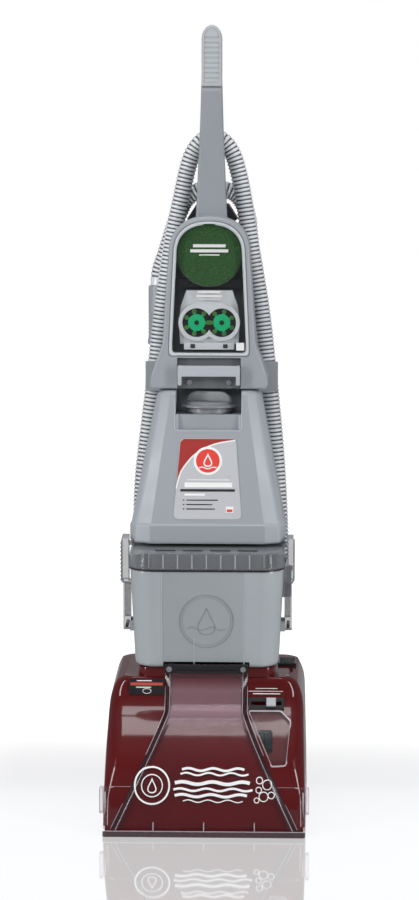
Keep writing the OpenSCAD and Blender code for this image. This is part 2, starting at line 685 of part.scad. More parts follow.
// ---------- tool hose ----------
function unit(v) = v / norm(v);
function ring(p, i) = let (n = len(p) - 1, t = unit(p[min(i + 1, n)] - p[max(i - 1, 0)]),
    u = unit(cross([0, 1, 0], t)), v = cross(t, u))
  [for (k = [0:hose_sides - 1]) let (a = 360 * k / hose_sides) p[i] + hose_r * (cos(a) * u + sin(a) * v)];
module hose() color([0.75, 0.77, 0.8, 0.7]) leaning() {
  n = len(hose_path);
  polyhedron(
    points = [for (i = [0:n - 1]) each ring(hose_path, i)],
    faces = concat(
      [[for (k = [0:hose_sides - 1]) k]],
      [for (i = [0:n - 2], k = [0:hose_sides - 1]) let (a = i * hose_sides, b = a + hose_sides,
        j = (k + 1) % hose_sides)
        each [[a + k, b + k, b + j], [a + k, b + j, a + j]]],
      [[for (k = [hose_sides - 1:-1:0]) (n - 1) * hose_sides + k]]));
}
module hose_grip() color(c_grey) leaning() translate([grip_x, grip_w, 0]) difference() {
  union() {
    translate([0, 0, grip_low]) cylinder(r = grip_r, h = grip_high - grip_low - 1);
    translate([0, 0, grip_low]) cylinder(r = grip_r + 1, h = 8);
  }
  translate([0, 0, grip_low - e]) cylinder(r = grip_r - 2.5, h = 41);
}
module cord_hook() color(c_black) leaning() {
  translate([0, 0, 915]) {
    pin_y(7, 14.4, 34);
    block([-6, 30, 0], [6, 36, 26]);
    block([-6, 36, 20], [6, 44, 26]);
  }
}

chassis();
hood();
floor_nozzle();
nozzle_seal_bar();
nozzle_screws();
corner_guards();
turbine_window();
turbine_rotor();
slider_plate();
speed_slider();
selector_label();
brush_carrier();
brush(1);  // brush_1
brush(2);  // brush_2
brush(3);  // brush_3
brush(4);  // brush_4
brush(5);  // brush_5
rear_axle();
wheel_left();
wheel_right();
front_wheels();
motor_housing();
motor_rotor();
power_pedal();
release_pedal();
pivot_pins();
recovery_tank();
tank_lid();
lid_gasket();
latch_pins();
lid_latch_left();
lid_latch_right();
standpipe();
float();
column_front();
column_rear();
hose_bracket();
hose_rack();
hose_port();
handle_shaft();
handle_back();
grip();
trigger();
trigger_rod();
caddy_frame();
caddy_back();
caddy_door();
tool_clip();
scrub_pad();
hand_tool();
hand_brush(-1);  // hand_brush_left
hand_brush(1);  // hand_brush_right
tank_latch();
latch_plate();
solution_tank();
tank_cap();
tank_label();
hose();
hose_grip();
cord_hook();
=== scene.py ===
"""Looks for an upright carpet washer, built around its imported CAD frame.

The helpers work in millimetres, in one of two frames. ROW is x, y, z with z up from the floor, and HANDLE is
x, w, h with h along the leaning handle and w towards the back. Both are turned into metres in the row frame.
"""
import json
import math
import random

import bmesh
import bpy
from mathutils import Matrix, Vector
from mathutils import noise as noise_field


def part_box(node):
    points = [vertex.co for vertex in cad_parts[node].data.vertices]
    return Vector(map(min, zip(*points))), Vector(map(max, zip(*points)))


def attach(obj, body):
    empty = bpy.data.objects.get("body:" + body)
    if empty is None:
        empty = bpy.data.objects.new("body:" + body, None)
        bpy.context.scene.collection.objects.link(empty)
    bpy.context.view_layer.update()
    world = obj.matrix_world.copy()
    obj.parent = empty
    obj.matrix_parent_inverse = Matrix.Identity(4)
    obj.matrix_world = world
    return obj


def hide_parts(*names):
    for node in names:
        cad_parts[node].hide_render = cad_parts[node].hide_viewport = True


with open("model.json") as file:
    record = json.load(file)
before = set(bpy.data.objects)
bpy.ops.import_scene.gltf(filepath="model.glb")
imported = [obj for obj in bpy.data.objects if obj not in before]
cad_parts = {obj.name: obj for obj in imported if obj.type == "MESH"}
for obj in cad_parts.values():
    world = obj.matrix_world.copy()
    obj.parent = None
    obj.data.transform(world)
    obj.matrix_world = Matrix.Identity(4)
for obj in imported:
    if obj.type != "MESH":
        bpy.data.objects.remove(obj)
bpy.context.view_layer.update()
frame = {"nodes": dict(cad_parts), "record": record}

MM = 0.001
LEAN = math.radians(4)
PIVOT = sum(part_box("pivot_pins"), Vector()) / 2
PIVOT_BACK = 0.110
ROW = Matrix.Translation((0, PIVOT.y - PIVOT_BACK, 0)) @ Matrix.Scale(MM, 4)
HANDLE = Matrix.Translation(PIVOT) @ Matrix.Rotation(-LEAN, 4, "X") @ Matrix.Scale(MM, 4)
# sloping panels on the hood: x, up the slope, outwards
PANEL = ROW @ Matrix.Translation((0, -92, 171.5)) @ Matrix.Rotation(math.radians(46.7), 4, "X")
STEEP_PANEL = ROW @ Matrix.Translation((0, -81, 194)) @ Matrix.Rotation(math.radians(77.9), 4, "X")


# ---------- camera, light and floor ----------
FLOOR_GLOW = 0.86
FLOOR_SHINE = 0.5
CARD_GLOW = 3.9


def aim(obj, target):
    obj.rotation_euler = (Vector(target) - obj.location).to_track_quat("-Z", "Y").to_euler()


def make_camera():
    """Eye level with the middle of the machine, 6 m away, slightly above and to its right."""
    distance, azimuth, elevation = 6.0, math.radians(1.8), math.radians(9)
    target = Vector((0.002, PIVOT.y - PIVOT_BACK, 0.532))
    away = Vector((math.sin(azimuth) * math.cos(elevation), -math.cos(azimuth) * math.cos(elevation),
                   math.sin(elevation)))
    data = bpy.data.cameras.new("camera")
    data.sensor_fit = "VERTICAL"
    data.sensor_height = 36
    data.lens = 163.3
    camera = bpy.data.objects.new("camera", data)
    camera.location = target + distance * away
    aim(camera, target)
    bpy.context.scene.collection.objects.link(camera)
    bpy.context.scene.camera = camera


def area_light(name, location, target, size, power, mirrored_in_gloss=True):
    data = bpy.data.lights.new(name, "AREA")
    data.shape = "RECTANGLE"
    data.size, data.size_y = size
    data.energy = power
    lamp = bpy.data.objects.new(name, data)
    lamp.location = location
    aim(lamp, target)
    lamp.visible_glossy = mirrored_in_gloss
    bpy.context.scene.collection.objects.link(lamp)


def make_studio():
    """White to the camera and dim grey to the rest, with a white card low behind that the floor mirrors."""
    scene = bpy.context.scene
    scene.view_settings.view_transform = "Standard"
    world = bpy.data.worlds.new("studio")
    world.use_nodes = True
    scene.world = world
    tree = world.node_tree
    background = tree.nodes["Background"]
    background.inputs["Color"].default_value = (1, 1, 1, 1)
    split = node(tree, "SeparateXYZ", {0: node(tree, "TexCoord").outputs["Generated"]})
    grey = ramp(tree, split.outputs["Z"], [(0.0, (0.20, 0.20, 0.21)), (0.45, (0.24, 0.245, 0.255)),
                                           (0.75, (0.20, 0.205, 0.215)), (1.0, (0.40, 0.405, 0.42))])
    card = multiplied(tree, along(tree, "Z", [(0.226, 0.0), (0.238, 1.0), (0.31, 1.0), (0.34, 0.0)]),
                      along(tree, "X", [(-0.22, 0.0), (-0.17, 1.0), (0.17, 1.0), (0.22, 0.0)]))
    behind = compute(tree, "GREATER_THAN", split.outputs["Y"], 0.0)
    strength = compute(tree, "MULTIPLY_ADD", behind, compute(tree, "MULTIPLY", card, CARD_GLOW), 1.0)
    fill = node(tree, "Background", {"Color": grey, "Strength": strength})
    mix = node(tree, "MixShader", {"Fac": node(tree, "LightPath").outputs["Is Camera Ray"],
                                   1: fill.outputs[0], 2: background.outputs[0]})
    tree.links.new(mix.outputs[0], tree.nodes["World Output"].inputs["Surface"])
    area_light("left", (-2.1, -1.5, 1.0), (0, 0, 0.55), (0.45, 2.2), 36)
    area_light("right", (2.1, -1.5, 1.0), (0, 0, 0.55), (0.40, 2.2), 34)
    area_light("overhead", (0, 0.02, 2.6), (0, -0.05, 0.2), (1.3, 0.8), 15)
    area_light("front", (-0.5, -3.4, 2.2), (0, 0, 0.6), (1.6, 1.0), 24, False)
    area_light("back", (0, 2.2, 1.6), (0, 0, 0.6), (2.0, 1.2), 16, False)


def make_floor():
    bpy.ops.mesh.primitive_plane_add(size=14, location=(0, 0, 0))
    floor = bpy.context.object
    floor.name = "studio_floor"
    mat, tree, shader = new_material("floor")
    # it glows as bright as the backdrop, but for a softer patch around the machine
    glow = along(tree, "Y", [(-1.5, 1.0), (-0.9, FLOOR_GLOW), (0.1, FLOOR_GLOW), (0.6, 1.0)])
    seen = node(tree, "MapRange", {"Value": node(tree, "LightPath").outputs["Is Camera Ray"], "To Min": 0.10,
                                   "To Max": glow})
    feed(tree, shader, {"Base Color": (0.25, 0.25, 0.255, 1), "Roughness": 0.9, "Specular IOR Level": 0.0,
                        "Emission Color": (1, 1, 1, 1), "Emission Strength": seen.outputs["Result"]})
    gloss = node(tree, "BsdfGlossy", {"Roughness": 0.045})
    # it shines only under and in front of the machine, and fades out behind it
    front = along(tree, "Y", [(-1.2, 0.0), (-0.7, FLOOR_SHINE), (0.1, FLOOR_SHINE), (0.5, 0.0)])
    middle = along(tree, "X", [(-0.6, 0.0), (-0.3, 1.0), (0.3, 1.0), (0.6, 0.0)])
    mix = node(tree, "MixShader", {"Fac": multiplied(tree, front, middle), 1: shader.outputs[0],
                                   2: gloss.outputs[0]})
    tree.links.new(mix.outputs[0], tree.nodes["Material Output"].inputs["Surface"])
    floor.data.materials.append(mat)


# ---------- material helpers ----------
def feed(tree, target, inputs):
    """Fills a node's inputs by name or place: sockets are linked, and values are set on the input itself."""
    for key, value in inputs.items():
        if isinstance(value, bpy.types.NodeSocket):
            tree.links.new(value, target.inputs[key])
        else:
            target.inputs[key].default_value = value


def node(tree, kind, inputs=None, **settings):
    """A new shader node with these inputs and settings."""
    made = tree.nodes.new("ShaderNode" + kind)
    for name, value in settings.items():
        setattr(made, name, value)
    feed(tree, made, inputs or {})
    return made


def compute(tree, operation, *values):
    return node(tree, "Math", dict(enumerate(values)), operation=operation).outputs[0]


def noise(tree, scale, detail=3.0, stretch=(1, 1, 1)):
    place = node(tree, "Mapping", {"Vector": node(tree, "TexCoord").outputs["Object"], "Scale": stretch})
    return node(tree, "TexNoise", {"Vector": place.outputs[0], "Scale": scale, "Detail": detail}).outputs[0]


def ramp(tree, value, stops):
    made = node(tree, "ValToRGB", {"Fac": value})
    elements = made.color_ramp.elements
    while len(elements) < len(stops):
        elements.new(0.5)
    for element, (position, colour) in zip(elements, stops):
        element.position = position
        element.color = (*colour, 1)
    return made.outputs["Color"]


def span(tree, value, low, high, start=0.3, end=0.7):
    return node(tree, "MapRange", {"Value": value, "From Min": start, "From Max": end, "To Min": low,
                                   "To Max": high}).outputs["Result"]


def bump(tree, height, strength, distance):
    return node(tree, "Bump", {"Height": height, "Strength": strength,
                               "Distance": distance}).outputs["Normal"]


def multiplied(tree, a, b):
    return node(tree, "Mix", {"Factor": 1.0, "A": a, "B": b}, data_type="RGBA",
                blend_type="MULTIPLY").outputs["Result"]


def drift(tree, colour, spread, texture, start=0.3, end=0.7):
    """The colour, varying a little darker and lighter with the texture."""
    return ramp(tree, texture, [(start, [c * (1 - spread) for c in colour]),
                                (end, [min(1, c * (1 + spread)) for c in colour])])


def new_material(name):
    mat = bpy.data.materials.new(name)
    mat.use_nodes = True
    return mat, mat.node_tree, mat.node_tree.nodes["Principled BSDF"]


def plastic(name, colour, rough, grain=0.08, grain_scale=900, spread=0.05, coat=0.0, shade_bands=None, edge=1.0):
    """Moulded plastic: faint colour drift, uneven gloss and a fine moulded grain.
    bands darkens it across x: painted shade, leaving lighter strips where the surface would catch
    reflections; (x, share) pairs.
    edge makes the sides of the piece lighter than its front by that factor, as painted light from lamps at
    the sides."""
    mat, tree, shader = new_material(name)
    tint = drift(tree, colour, spread, noise(tree, 9))
    # painted shade and light across x
    if shade_bands:
        tint = multiplied(tree, tint, along(tree, "X", shade_bands))
    # painted light: faces turned towards the sides get a lighter colour than the front
    if edge > 1:
        split = node(tree, "SeparateXYZ", {0: node(tree, "TexCoord").outputs["Normal"]})
        share = [(at, (value,) * 3) for at, value in ((0.1, 1 / edge), (0.65, 1.0))]
        tint = multiplied(tree, tint, ramp(tree, compute(tree, "ABSOLUTE", split.outputs["X"]), share))
    feed(tree, shader, {
        "Base Color": tint, "Roughness": span(tree, noise(tree, 40, 5), rough * 0.85, min(1, rough * 1.2)),
        "Normal": bump(tree, noise(tree, grain_scale), grain, 0.0004), "Coat Weight": coat,
        "Coat Roughness": 0.04})
    return mat


def along(tree, axis, stops):
    """A value that changes with x, y or z on the object, in metres."""
    split = node(tree, "SeparateXYZ", {0: node(tree, "TexCoord").outputs["Object"]})
    low, high = stops[0][0], stops[-1][0]
    place = span(tree, split.outputs[axis], 0, 1, low, high)
    return ramp(tree, place, [((at - low) / (high - low), (value,) * 3) for at, value in stops])


def clear(name, colour, face_on, edge_on, rough=0.06, ripple=0.05, haze_and_highlight=None):
    """Clear moulding: thin to look through, denser at its edges, with faint moulding ripples.
    haze adds milkiness by height, and a peak in it can paint a highlight band as extra milkiness: (z, amount)
    pairs."""
    mat, tree, shader = new_material(name)
    edge = node(tree, "LayerWeight", {"Blend": 0.35})
    alpha = span(tree, edge.outputs["Facing"], face_on, edge_on, 0.05, 0.9)
    if haze_and_highlight:
        alpha = compute(tree, "ADD", alpha, along(tree, "Z", haze_and_highlight))
    feed(tree, shader, {
        "Base Color": drift(tree, colour, 0.04, noise(tree, 12)), "Alpha": alpha,
        "Roughness": span(tree, noise(tree, 30, 4), rough * 0.8, rough * 1.5),
        "Normal": bump(tree, noise(tree, 35, 2), ripple, 0.001)})
    return mat


def fibre(name, colours, scale, strength):
    """Non-woven scouring fibre: tangled strands of several greens."""
    mat, tree, shader = new_material(name)
    strands = noise(tree, scale, 8, (1, 1, 1.6))
    feed(tree, shader, {
        "Base Color": ramp(tree, strands, list(zip((0.32, 0.5, 0.68), colours))), "Roughness": 0.95,
        "Sheen Weight": 0.3, "Normal": bump(tree, noise(tree, scale * 2.2, 6), strength, 0.001)})
    return mat


def metal(name, colour, rough):
    """Metal drawn along x."""
    mat, tree, shader = new_material(name)
    feed(tree, shader, {
        "Base Color": drift(tree, colour, 0.08, noise(tree, 60, 4, (0.1, 1, 1))), "Metallic": 1.0,
        "Roughness": span(tree, noise(tree, 120, 4), rough * 0.8, rough * 1.3),
        "Normal": bump(tree, noise(tree, 400, 2, (0.05, 1, 1)), 0.05, 0.0003)})
    return mat


BURGUNDY = plastic("burgundy_gloss", (0.092, 0.0030, 0.0038), 0.10, 0.02, 300, 0.06)
GREY = plastic("silver_grey", (0.33, 0.352, 0.378), 0.36, 0.10, 1100, 0.03)
LIGHT_GREY = plastic("pale_grey", (0.45, 0.475, 0.50), 0.40, 0.10, 1100, 0.03)
# a darker copy of the silver grey: painted shade on the handle shaft's flat front, against its lighter bevels
SHADED_SHAFT_GREY = plastic("shaft_grey_painted_shade", (0.29, 0.31, 0.335), 0.34, 0.10, 1100, 0.03)
# pale grey standing in for highlights: the bright line round the caddy door and the light on the lid's ribs
PAINTED_HIGHLIGHT_GREY = plastic("painted_highlight_grey", (0.58, 0.61, 0.64), 0.25, 0.06, 900, 0.03)
TOOL_GREY = plastic("tool_grey", (0.62, 0.65, 0.675), 0.35, 0.08, 900, 0.03)
CAP_GREY = plastic("cap_grey", (0.21, 0.222, 0.236), 0.30, 0.08, 900, 0.04)
DARK_GREY = plastic("dark_grey", (0.15, 0.16, 0.168), 0.42, 0.12, 900, 0.05)
CHARCOAL = plastic("charcoal", (0.035, 0.038, 0.041), 0.42, 0.15, 900, 0.10)
BLACK = plastic("black", (0.012, 0.012, 0.014), 0.28, 0.10, 700, 0.15)
TYRE = plastic("tyre_rubber", (0.018, 0.018, 0.019), 0.75, 0.35, 700, 0.15)
WHITE = plastic("white_print", (0.86, 0.86, 0.86), 0.45, 0.04, 900, 0.02)
WHITE_TAB = plastic("white_tab", (0.80, 0.81, 0.80), 0.35, 0.06, 900, 0.03)
RED_PRINT = plastic("red_print", (0.36, 0.026, 0.022), 0.35, 0.04, 900, 0.03)
BRIGHT_RED = plastic("bright_red_print", (0.75, 0.045, 0.03), 0.35, 0.04, 900, 0.03)
BLACK_PRINT = plastic("black_print", (0.02, 0.02, 0.02), 0.5, 0.04, 900, 0.05)
FILM = plastic("label_film", (0.50, 0.51, 0.535), 0.32, 0.03, 700, 0.02)
GREEN = plastic("brush_green", (0.0, 0.44, 0.17), 0.32, 0.06, 900, 0.06)
TUFT = plastic("tuft_yellow_green", (0.22, 0.30, 0.03), 0.6, 0.2, 1500, 0.25)
BRISTLE = plastic("floor_bristle", (0.05, 0.05, 0.055), 0.6, 0.3, 1500, 0.2)
# TANK and SMOKE below paint light on their sides: edge makes faces turned to the sides lighter than the front
TANK = plastic("tank_silver", (0.405, 0.437, 0.470), 0.36, 0.02, 500, 0.015, edge=1.25)
# the bands paint a darker centre panel between lighter corners, the left corner fading darker outwards:
# painted reflection on the corners
SMOKE = plastic("tank_smoke", (0.46, 0.50, 0.525), 0.22, 0.05, 400, 0.03, coat=0.3, edge=1.2,
                shade_bands=[(-0.113, 0.84), (-0.068, 1.0), (-0.064, 0.84), (0.052, 0.88), (0.056, 1.0),
                       (0.113, 0.98)])
CLEAR = clear("clear_plastic", (0.60, 0.62, 0.65), 0.16, 0.75)
# the haze peak at z 0.157 to 0.172 is a painted highlight along the cover's crest; the rest is the cover's
# own milkiness
NOZZLE_CLEAR = clear("nozzle_clear", (0.52, 0.34, 0.40), 0.01, 0.20, 0.06, 0.03,
                     [(0.135, 0.0), (0.147, 0.02), (0.157, 0.20), (0.166, 0.38), (0.172, 0.14), (0.190, 0.20),
                      (0.203, 0.06), (0.216, 0.04)])
WING_CLEAR = clear("nozzle_wing", (0.34, 0.20, 0.22), 0.08, 0.6, 0.08, 0.05)
EDGE_CLEAR = clear("nozzle_edge", (0.045, 0.016, 0.022), 0.72, 0.92, 0.1, 0.05)
RIM_CLEAR = clear("nozzle_rim", (0.72, 0.66, 0.70), 0.55, 0.9, 0.1, 0.05)
LATCH_CLEAR = clear("latch_clear", (0.22, 0.232, 0.25), 0.42, 0.95, 0.12, 0.05)
WINDOW_CLEAR = clear("window_clear", (0.40, 0.34, 0.36), 0.03, 0.35, 0.05, 0.02)
DOOR_CLEAR = clear("door_clear", (0.30, 0.32, 0.33), 0.015, 0.30, 0.04, 0.02)
GUARD_CLEAR = clear("guard_clear", (0.55, 0.40, 0.44), 0.16, 0.85, 0.07, 0.05)
PAD = fibre("scouring_fibre", [(0.006, 0.036, 0.006), (0.015, 0.080, 0.013), (0.036, 0.130, 0.022)], 480, 0.8)
STEEL = metal("zinc_steel", (0.62, 0.63, 0.65), 0.3)
SALMON = plastic("salmon_print", (0.50, 0.07, 0.05), 0.4, 0.04, 900, 0.03)
EMBOSS = plastic("emboss_grey", (0.235, 0.255, 0.27), 0.3, 0.05, 900, 0.03)
TEAL = plastic("impeller_teal", (0.015, 0.09, 0.10), 0.3, 0.05, 500, 0.1)
LID_CLEAR = clear("lid_clear", (0.32, 0.34, 0.36), 0.25, 0.85, 0.08, 0.04)


# ---------- mesh helpers, in millimetres ----------
def rounded(points, radii, steps=6):
    """The outline with each corner turned into an arc."""
    points = [Vector(p) for p in points]
    radii = radii if hasattr(radii, "__len__") else [radii] * len(points)
    out = []
    for i, (p, radius) in enumerate(zip(points, radii)):
        before, after = points[i - 1] - p, points[(i + 1) % len(points)] - p
        half = before.angle(after) / 2
        reach = min(radius / math.tan(half), 0.49 * before.length, 0.49 * after.length)
        u, v = before.normalized(), after.normalized()
        centre = p + (u + v).normalized() * reach / math.cos(half)
        start, end = p + u * reach - centre, p + v * reach - centre
        turn = start.angle_signed(end)
        out += [centre + Matrix.Rotation(-turn * k / steps, 2) @ start for k in range(steps + 1)]
    return out


def circle(x, y, radius, steps=40):
    return [(x + radius * math.cos(2 * math.pi * k / steps), y + radius * math.sin(2 * math.pi * k / steps))
            for k in range(steps)]


def rect(x0, y0, x1, y1):
    return [(x0, y0), (x1, y0), (x1, y1), (x0, y1)]


def mirrored(half):
    return list(half) + [(-x, y) for x, y in reversed(half)]


def smooth_line(pairs):
    """A smooth function through (value, position) pairs, read by position."""
    def value(at):
        at = min(max(at, pairs[0][1]), pairs[-1][1])
        i = next(k for k in range(len(pairs) - 1) if at <= pairs[k + 1][1])
        (v0, p0), (v1, p1) = pairs[i], pairs[i + 1]
        slope = (v1 - v0) / (p1 - p0)
        before = (v0 - pairs[i - 1][0]) / (p0 - pairs[i - 1][1]) if i else slope
        after = (pairs[i + 2][0] - v1) / (pairs[i + 2][1] - p1) if i + 2 < len(pairs) else slope
        m0, m1 = (slope + before) / 2, (slope + after) / 2
        t, h = (at - p0) / (p1 - p0), p1 - p0
        return ((2 * t ** 3 - 3 * t ** 2 + 1) * v0 + (t ** 3 - 2 * t ** 2 + t) * h * m0
                + (3 * t ** 2 - 2 * t ** 3) * v1 + (t ** 3 - t ** 2) * h * m1)
    return value


def mix_up(a, b, t):
    return a + (b - a) * t


def to_mesh(bm):
    bmesh.ops.recalc_face_normals(bm, faces=bm.faces)
    mesh = bpy.data.meshes.new("part")
    bm.to_mesh(mesh)
    bm.free()
    return mesh


def loft(rings, looped=False):
    """A closed solid through rings of equally many points, capped at its ends or looped back to the first."""
    bm = bmesh.new()
    rows = [[bm.verts.new(p) for p in ring] for ring in rings]
    count = len(rings[0])
    for a, b in zip(rows, rows[1:] + rows[:1] if looped else rows[1:]):
        for i in range(count):
            bm.faces.new((a[i], a[(i + 1) % count], b[(i + 1) % count], b[i]))
    if not looped:
        bm.faces.new(rows[0])
        bm.faces.new(rows[-1])
    return to_mesh(bm)


def slab(outer, inner):
    """A closed sheet between two grids of points with the same rows and columns."""
    bm = bmesh.new()
    grids = [[[bm.verts.new(p) for p in row] for row in grid] for grid in (outer, inner)]
    rows, cols = len(outer), len(outer[0])
    for grid in grids:
        for i in range(rows - 1):
            for j in range(cols - 1):
                bm.faces.new((grid[i][j], grid[i][j + 1], grid[i + 1][j + 1], grid[i + 1][j]))
    rim = ([(0, j) for j in range(cols)] + [(i, cols - 1) for i in range(1, rows)]
           + [(rows - 1, j) for j in range(cols - 2, -1, -1)] + [(i, 0) for i in range(rows - 2, 0, -1)])
    for (a, b), (c, d) in zip(rim, rim[1:] + rim[:1]):
        bm.faces.new((grids[0][a][b], grids[0][c][d], grids[1][c][d], grids[1][a][b]))
    return to_mesh(bm)


def box(low, high):
    (x0, y0, z0), (x1, y1, z1) = low, high
    return loft([[(x, y, z) for x, y in rect(x0, y0, x1, y1)] for z in (z0, z1)])


def prism(outline, low, high, along="w"):
    """An (x, h) outline taken along w, or a (w, h) outline taken along x."""
    if along == "w":
        return loft([[(x, w, h) for x, h in outline] for w in (low, high)])
    return loft([[(x, w, h) for w, h in outline] for x in (low, high)])


def rod(a, b, radius, steps=24):
    a, b = Vector(a), Vector(b)
    axis = (b - a).normalized()
    u = axis.orthogonal().normalized()
    v = axis.cross(u)
    return loft([[end + radius * (math.cos(t) * u + math.sin(t) * v)
                  for t in (2 * math.pi * k / steps for k in range(steps))] for end in (a, b)])


def lathe(profile, steps=48):
    """A solid of revolution about z from (radius, z) pairs."""
    return loft([[(x, y, z) for x, y in circle(0, 0, r, steps)] for r, z in profile])


def plate(outlines, low, high, bevel, half=None):
    """(x, h) outlines, the first one solid and the rest holes, taken along w with rounded edges.
    half keeps only the edge towards the front, for one shell of a two-shell part."""
    back = 2 * high - low if half else high
    data = bpy.data.curves.new("plate", "CURVE")
    data.dimensions = "2D"
    data.fill_mode = "BOTH"
    data.extrude = (back - low) / 2 - bevel
    data.bevel_depth = bevel
    data.bevel_resolution = 2
    data.offset = -bevel
    for outline in outlines:
        spline = data.splines.new("POLY")
        spline.points.add(len(outline) - 1)
        spline.use_cyclic_u = True
        for point, (x, h) in zip(spline.points, outline):
            point.co = (x, h, 0, 1)
    temporary = bpy.data.objects.new("plate", data)
    bpy.context.scene.collection.objects.link(temporary)
    graph = bpy.context.evaluated_depsgraph_get()
    mesh = bpy.data.meshes.new_from_object(temporary.evaluated_get(graph))
    bpy.data.objects.remove(temporary)
    middle = (low + back) / 2
    mesh.transform(Matrix(((1, 0, 0, 0), (0, 0, -1, middle), (0, 1, 0, 0), (0, 0, 0, 1))))
    bm = bmesh.new()
    bm.from_mesh(mesh)
    bmesh.ops.remove_doubles(bm, verts=bm.verts, dist=1e-3)
    if half:
        cut = bmesh.ops.bisect_plane(bm, geom=bm.verts[:] + bm.edges[:] + bm.faces[:], plane_co=(0, high, 0),
                                     plane_no=(0, 1, 0), clear_outer=True)
        edges = [e for e in cut["geom_cut"] if isinstance(e, bmesh.types.BMEdge)]
        bmesh.ops.triangle_fill(bm, edges=edges, use_beauty=True)
    return to_mesh(bm)


def join(*meshes):
    bm = bmesh.new()
    for mesh in meshes:
        bm.from_mesh(mesh)
    out = bpy.data.meshes.new("part")
    bm.to_mesh(out)
    bm.free()
    return out


def carve(mesh, *cutters, operation="DIFFERENCE"):
    """The mesh after a boolean with each cutter in turn."""
    for cutter in cutters:
        pair = [bpy.data.objects.new("carve", m) for m in (mesh, cutter)]
        for obj in pair:
            bpy.context.scene.collection.objects.link(obj)
        modifier = pair[0].modifiers.new("carve", "BOOLEAN")
        modifier.object = pair[1]
        modifier.operation = operation
        modifier.solver = "EXACT"
        graph = bpy.context.evaluated_depsgraph_get()
        mesh = bpy.data.meshes.new_from_object(pair[0].evaluated_get(graph))
        for obj in pair:
            bpy.data.objects.remove(obj)
    return mesh


def bevelled(mesh, width):
    """The mesh with its edges sharper than 35 degrees rounded."""
    bm = bmesh.new()
    bm.from_mesh(mesh)
    bmesh.ops.remove_doubles(bm, verts=bm.verts, dist=width * 0.02)
    bmesh.ops.dissolve_limit(bm, angle_limit=math.radians(0.5), verts=bm.verts, edges=bm.edges)
    edges = [e for e in bm.edges if len(e.link_faces) == 2 and e.calc_face_angle() > math.radians(35)]
    bmesh.ops.bevel(bm, geom=edges, offset=width, segments=2, profile=0.5, affect="EDGES",
                    clamp_overlap=True)
    return to_mesh(bm)


NODE_BODY = {cad: body for body, nodes in frame["record"]["behaviour"]["bodies"].items() for cad in nodes}
NODE_SLOT = {row["node"]: row["material_slot"] for row in frame["record"]["subparts"]}
ON_HANDLE = {"handle", "solution_tank", "tank_cap", "caddy_door", "hand_brush_left", "hand_brush_right"}


def piece(name, mesh, body, material, slot, nodes=(), sharp=40, place=None):
    """A finished piece of one or more meshes: in metres, smooth but for its sharp edges, riding on its body.
    slot is a slot's name, or the name of the CAD node whose slot it shares; it is resolved but not used."""
    if isinstance(mesh, list):
        mesh = join(*mesh)
    if place is None:
        place = HANDLE if body in ON_HANDLE else ROW
    slot = NODE_SLOT.get(slot, slot)
    mesh.transform(place)
    for polygon in mesh.polygons:
        polygon.use_smooth = True
    mesh.set_sharp_from_angle(angle=math.radians(sharp))
    mesh.materials.clear()
    mesh.materials.append(material)
    obj = bpy.data.objects.new(name, mesh)
    bpy.context.scene.collection.objects.link(obj)
    normals = obj.modifiers.new("even_normals", "WEIGHTED_NORMAL")
    normals.keep_sharp = True
    normals.weight = 100
    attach(obj, body)
    if nodes:
        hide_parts(*nodes)
    return obj


def softened(name, material, bevel):
    """The CAD node's own shape with its edges rounded, as a new piece in its place."""
    mesh = frame["nodes"][name].data.copy()
    mesh.transform(Matrix.Scale(1 / MM, 4))
    piece(name + "_moulded", bevelled(mesh, bevel), NODE_BODY[name], material, name, [name], 50,
          Matrix.Scale(MM, 4))


def strip(path, width, surface, thickness=0.35, closed=False):
    """A printed line of that width along an (x, h) path, laid on surface(x, h, lift)."""
    points = [Vector(p) for p in path]
    rows = []
    for i, p in enumerate(points):
        ahead = points[(i + 1) % len(points)] if closed or i + 1 < len(points) else p
        behind = points[i - 1] if closed or i else p
        side = (ahead - behind).normalized().orthogonal() * width / 2
        rows.append([p + side, p - side])
    if closed:
        rows.append(rows[0])
    outer = [[surface(q.x, q.y, thickness) for q in row] for row in rows]
    inner = [[surface(q.x, q.y, 0.05) for q in row] for row in rows]
    if closed:
        return loft([[a, b, d, c] for (a, b), (c, d) in zip(outer[:-1], inner)], looped=True)
    return slab(outer, inner)


def wave(x0, x1, h, rise, waves, steps=40):
    return [(mix_up(x0, x1, k / steps), h + rise * math.sin(2 * math.pi * waves * k / steps))
            for k in range(steps + 1)]


def drop(x, h, size, steps=28):
    """Outline of a water drop with its point up."""
    return [(x + size * math.sin(t) * (0.5 - 0.5 * math.cos(t)) * 0.95, h + size * math.cos(t))
            for t in (2 * math.pi * k / steps for k in range(steps))]


# ---------- tool hose ----------
HOSE_DIAMETER = 26
HOSE_PITCH = 6.0
RINGS_PER_RIDGE = 6
HOSE_ROUTE = [
    (104, 46, 226.4), (104, 46, 262), (99, 46, 372), (88, 46, 494), (74, 46, 618), (55, 46, 730),
    (46, 46, 789), (38, 46, 826), (30, 46, 850), (17, 46, 868), (0, 46, 875), (-17, 46, 868),
    (-30, 46, 850), (-38, 46, 826), (-46, 46, 789), (-56, 46, 742), (-75, 46, 618), (-89, 46, 494),
    (-98, 46, 420), (-105, 46, 350), (-105, 47, 290), (-92, 49, 242), (-62, 53, 212), (-22, 60, 200),
    (22, 68, 200), (62, 71, 214), (86, 73, 244), (92, 74, 290), (87, 74, 360), (72, 74, 510),
    (56, 74, 722), (52, 74, 756), (42, 74, 780), (26, 74, 793), (-20, 74, 794), (-40, 74, 781),
    (-53, 75, 756), (-72, 77, 698), (-81, 79, 670), (-82, 79, 650)]


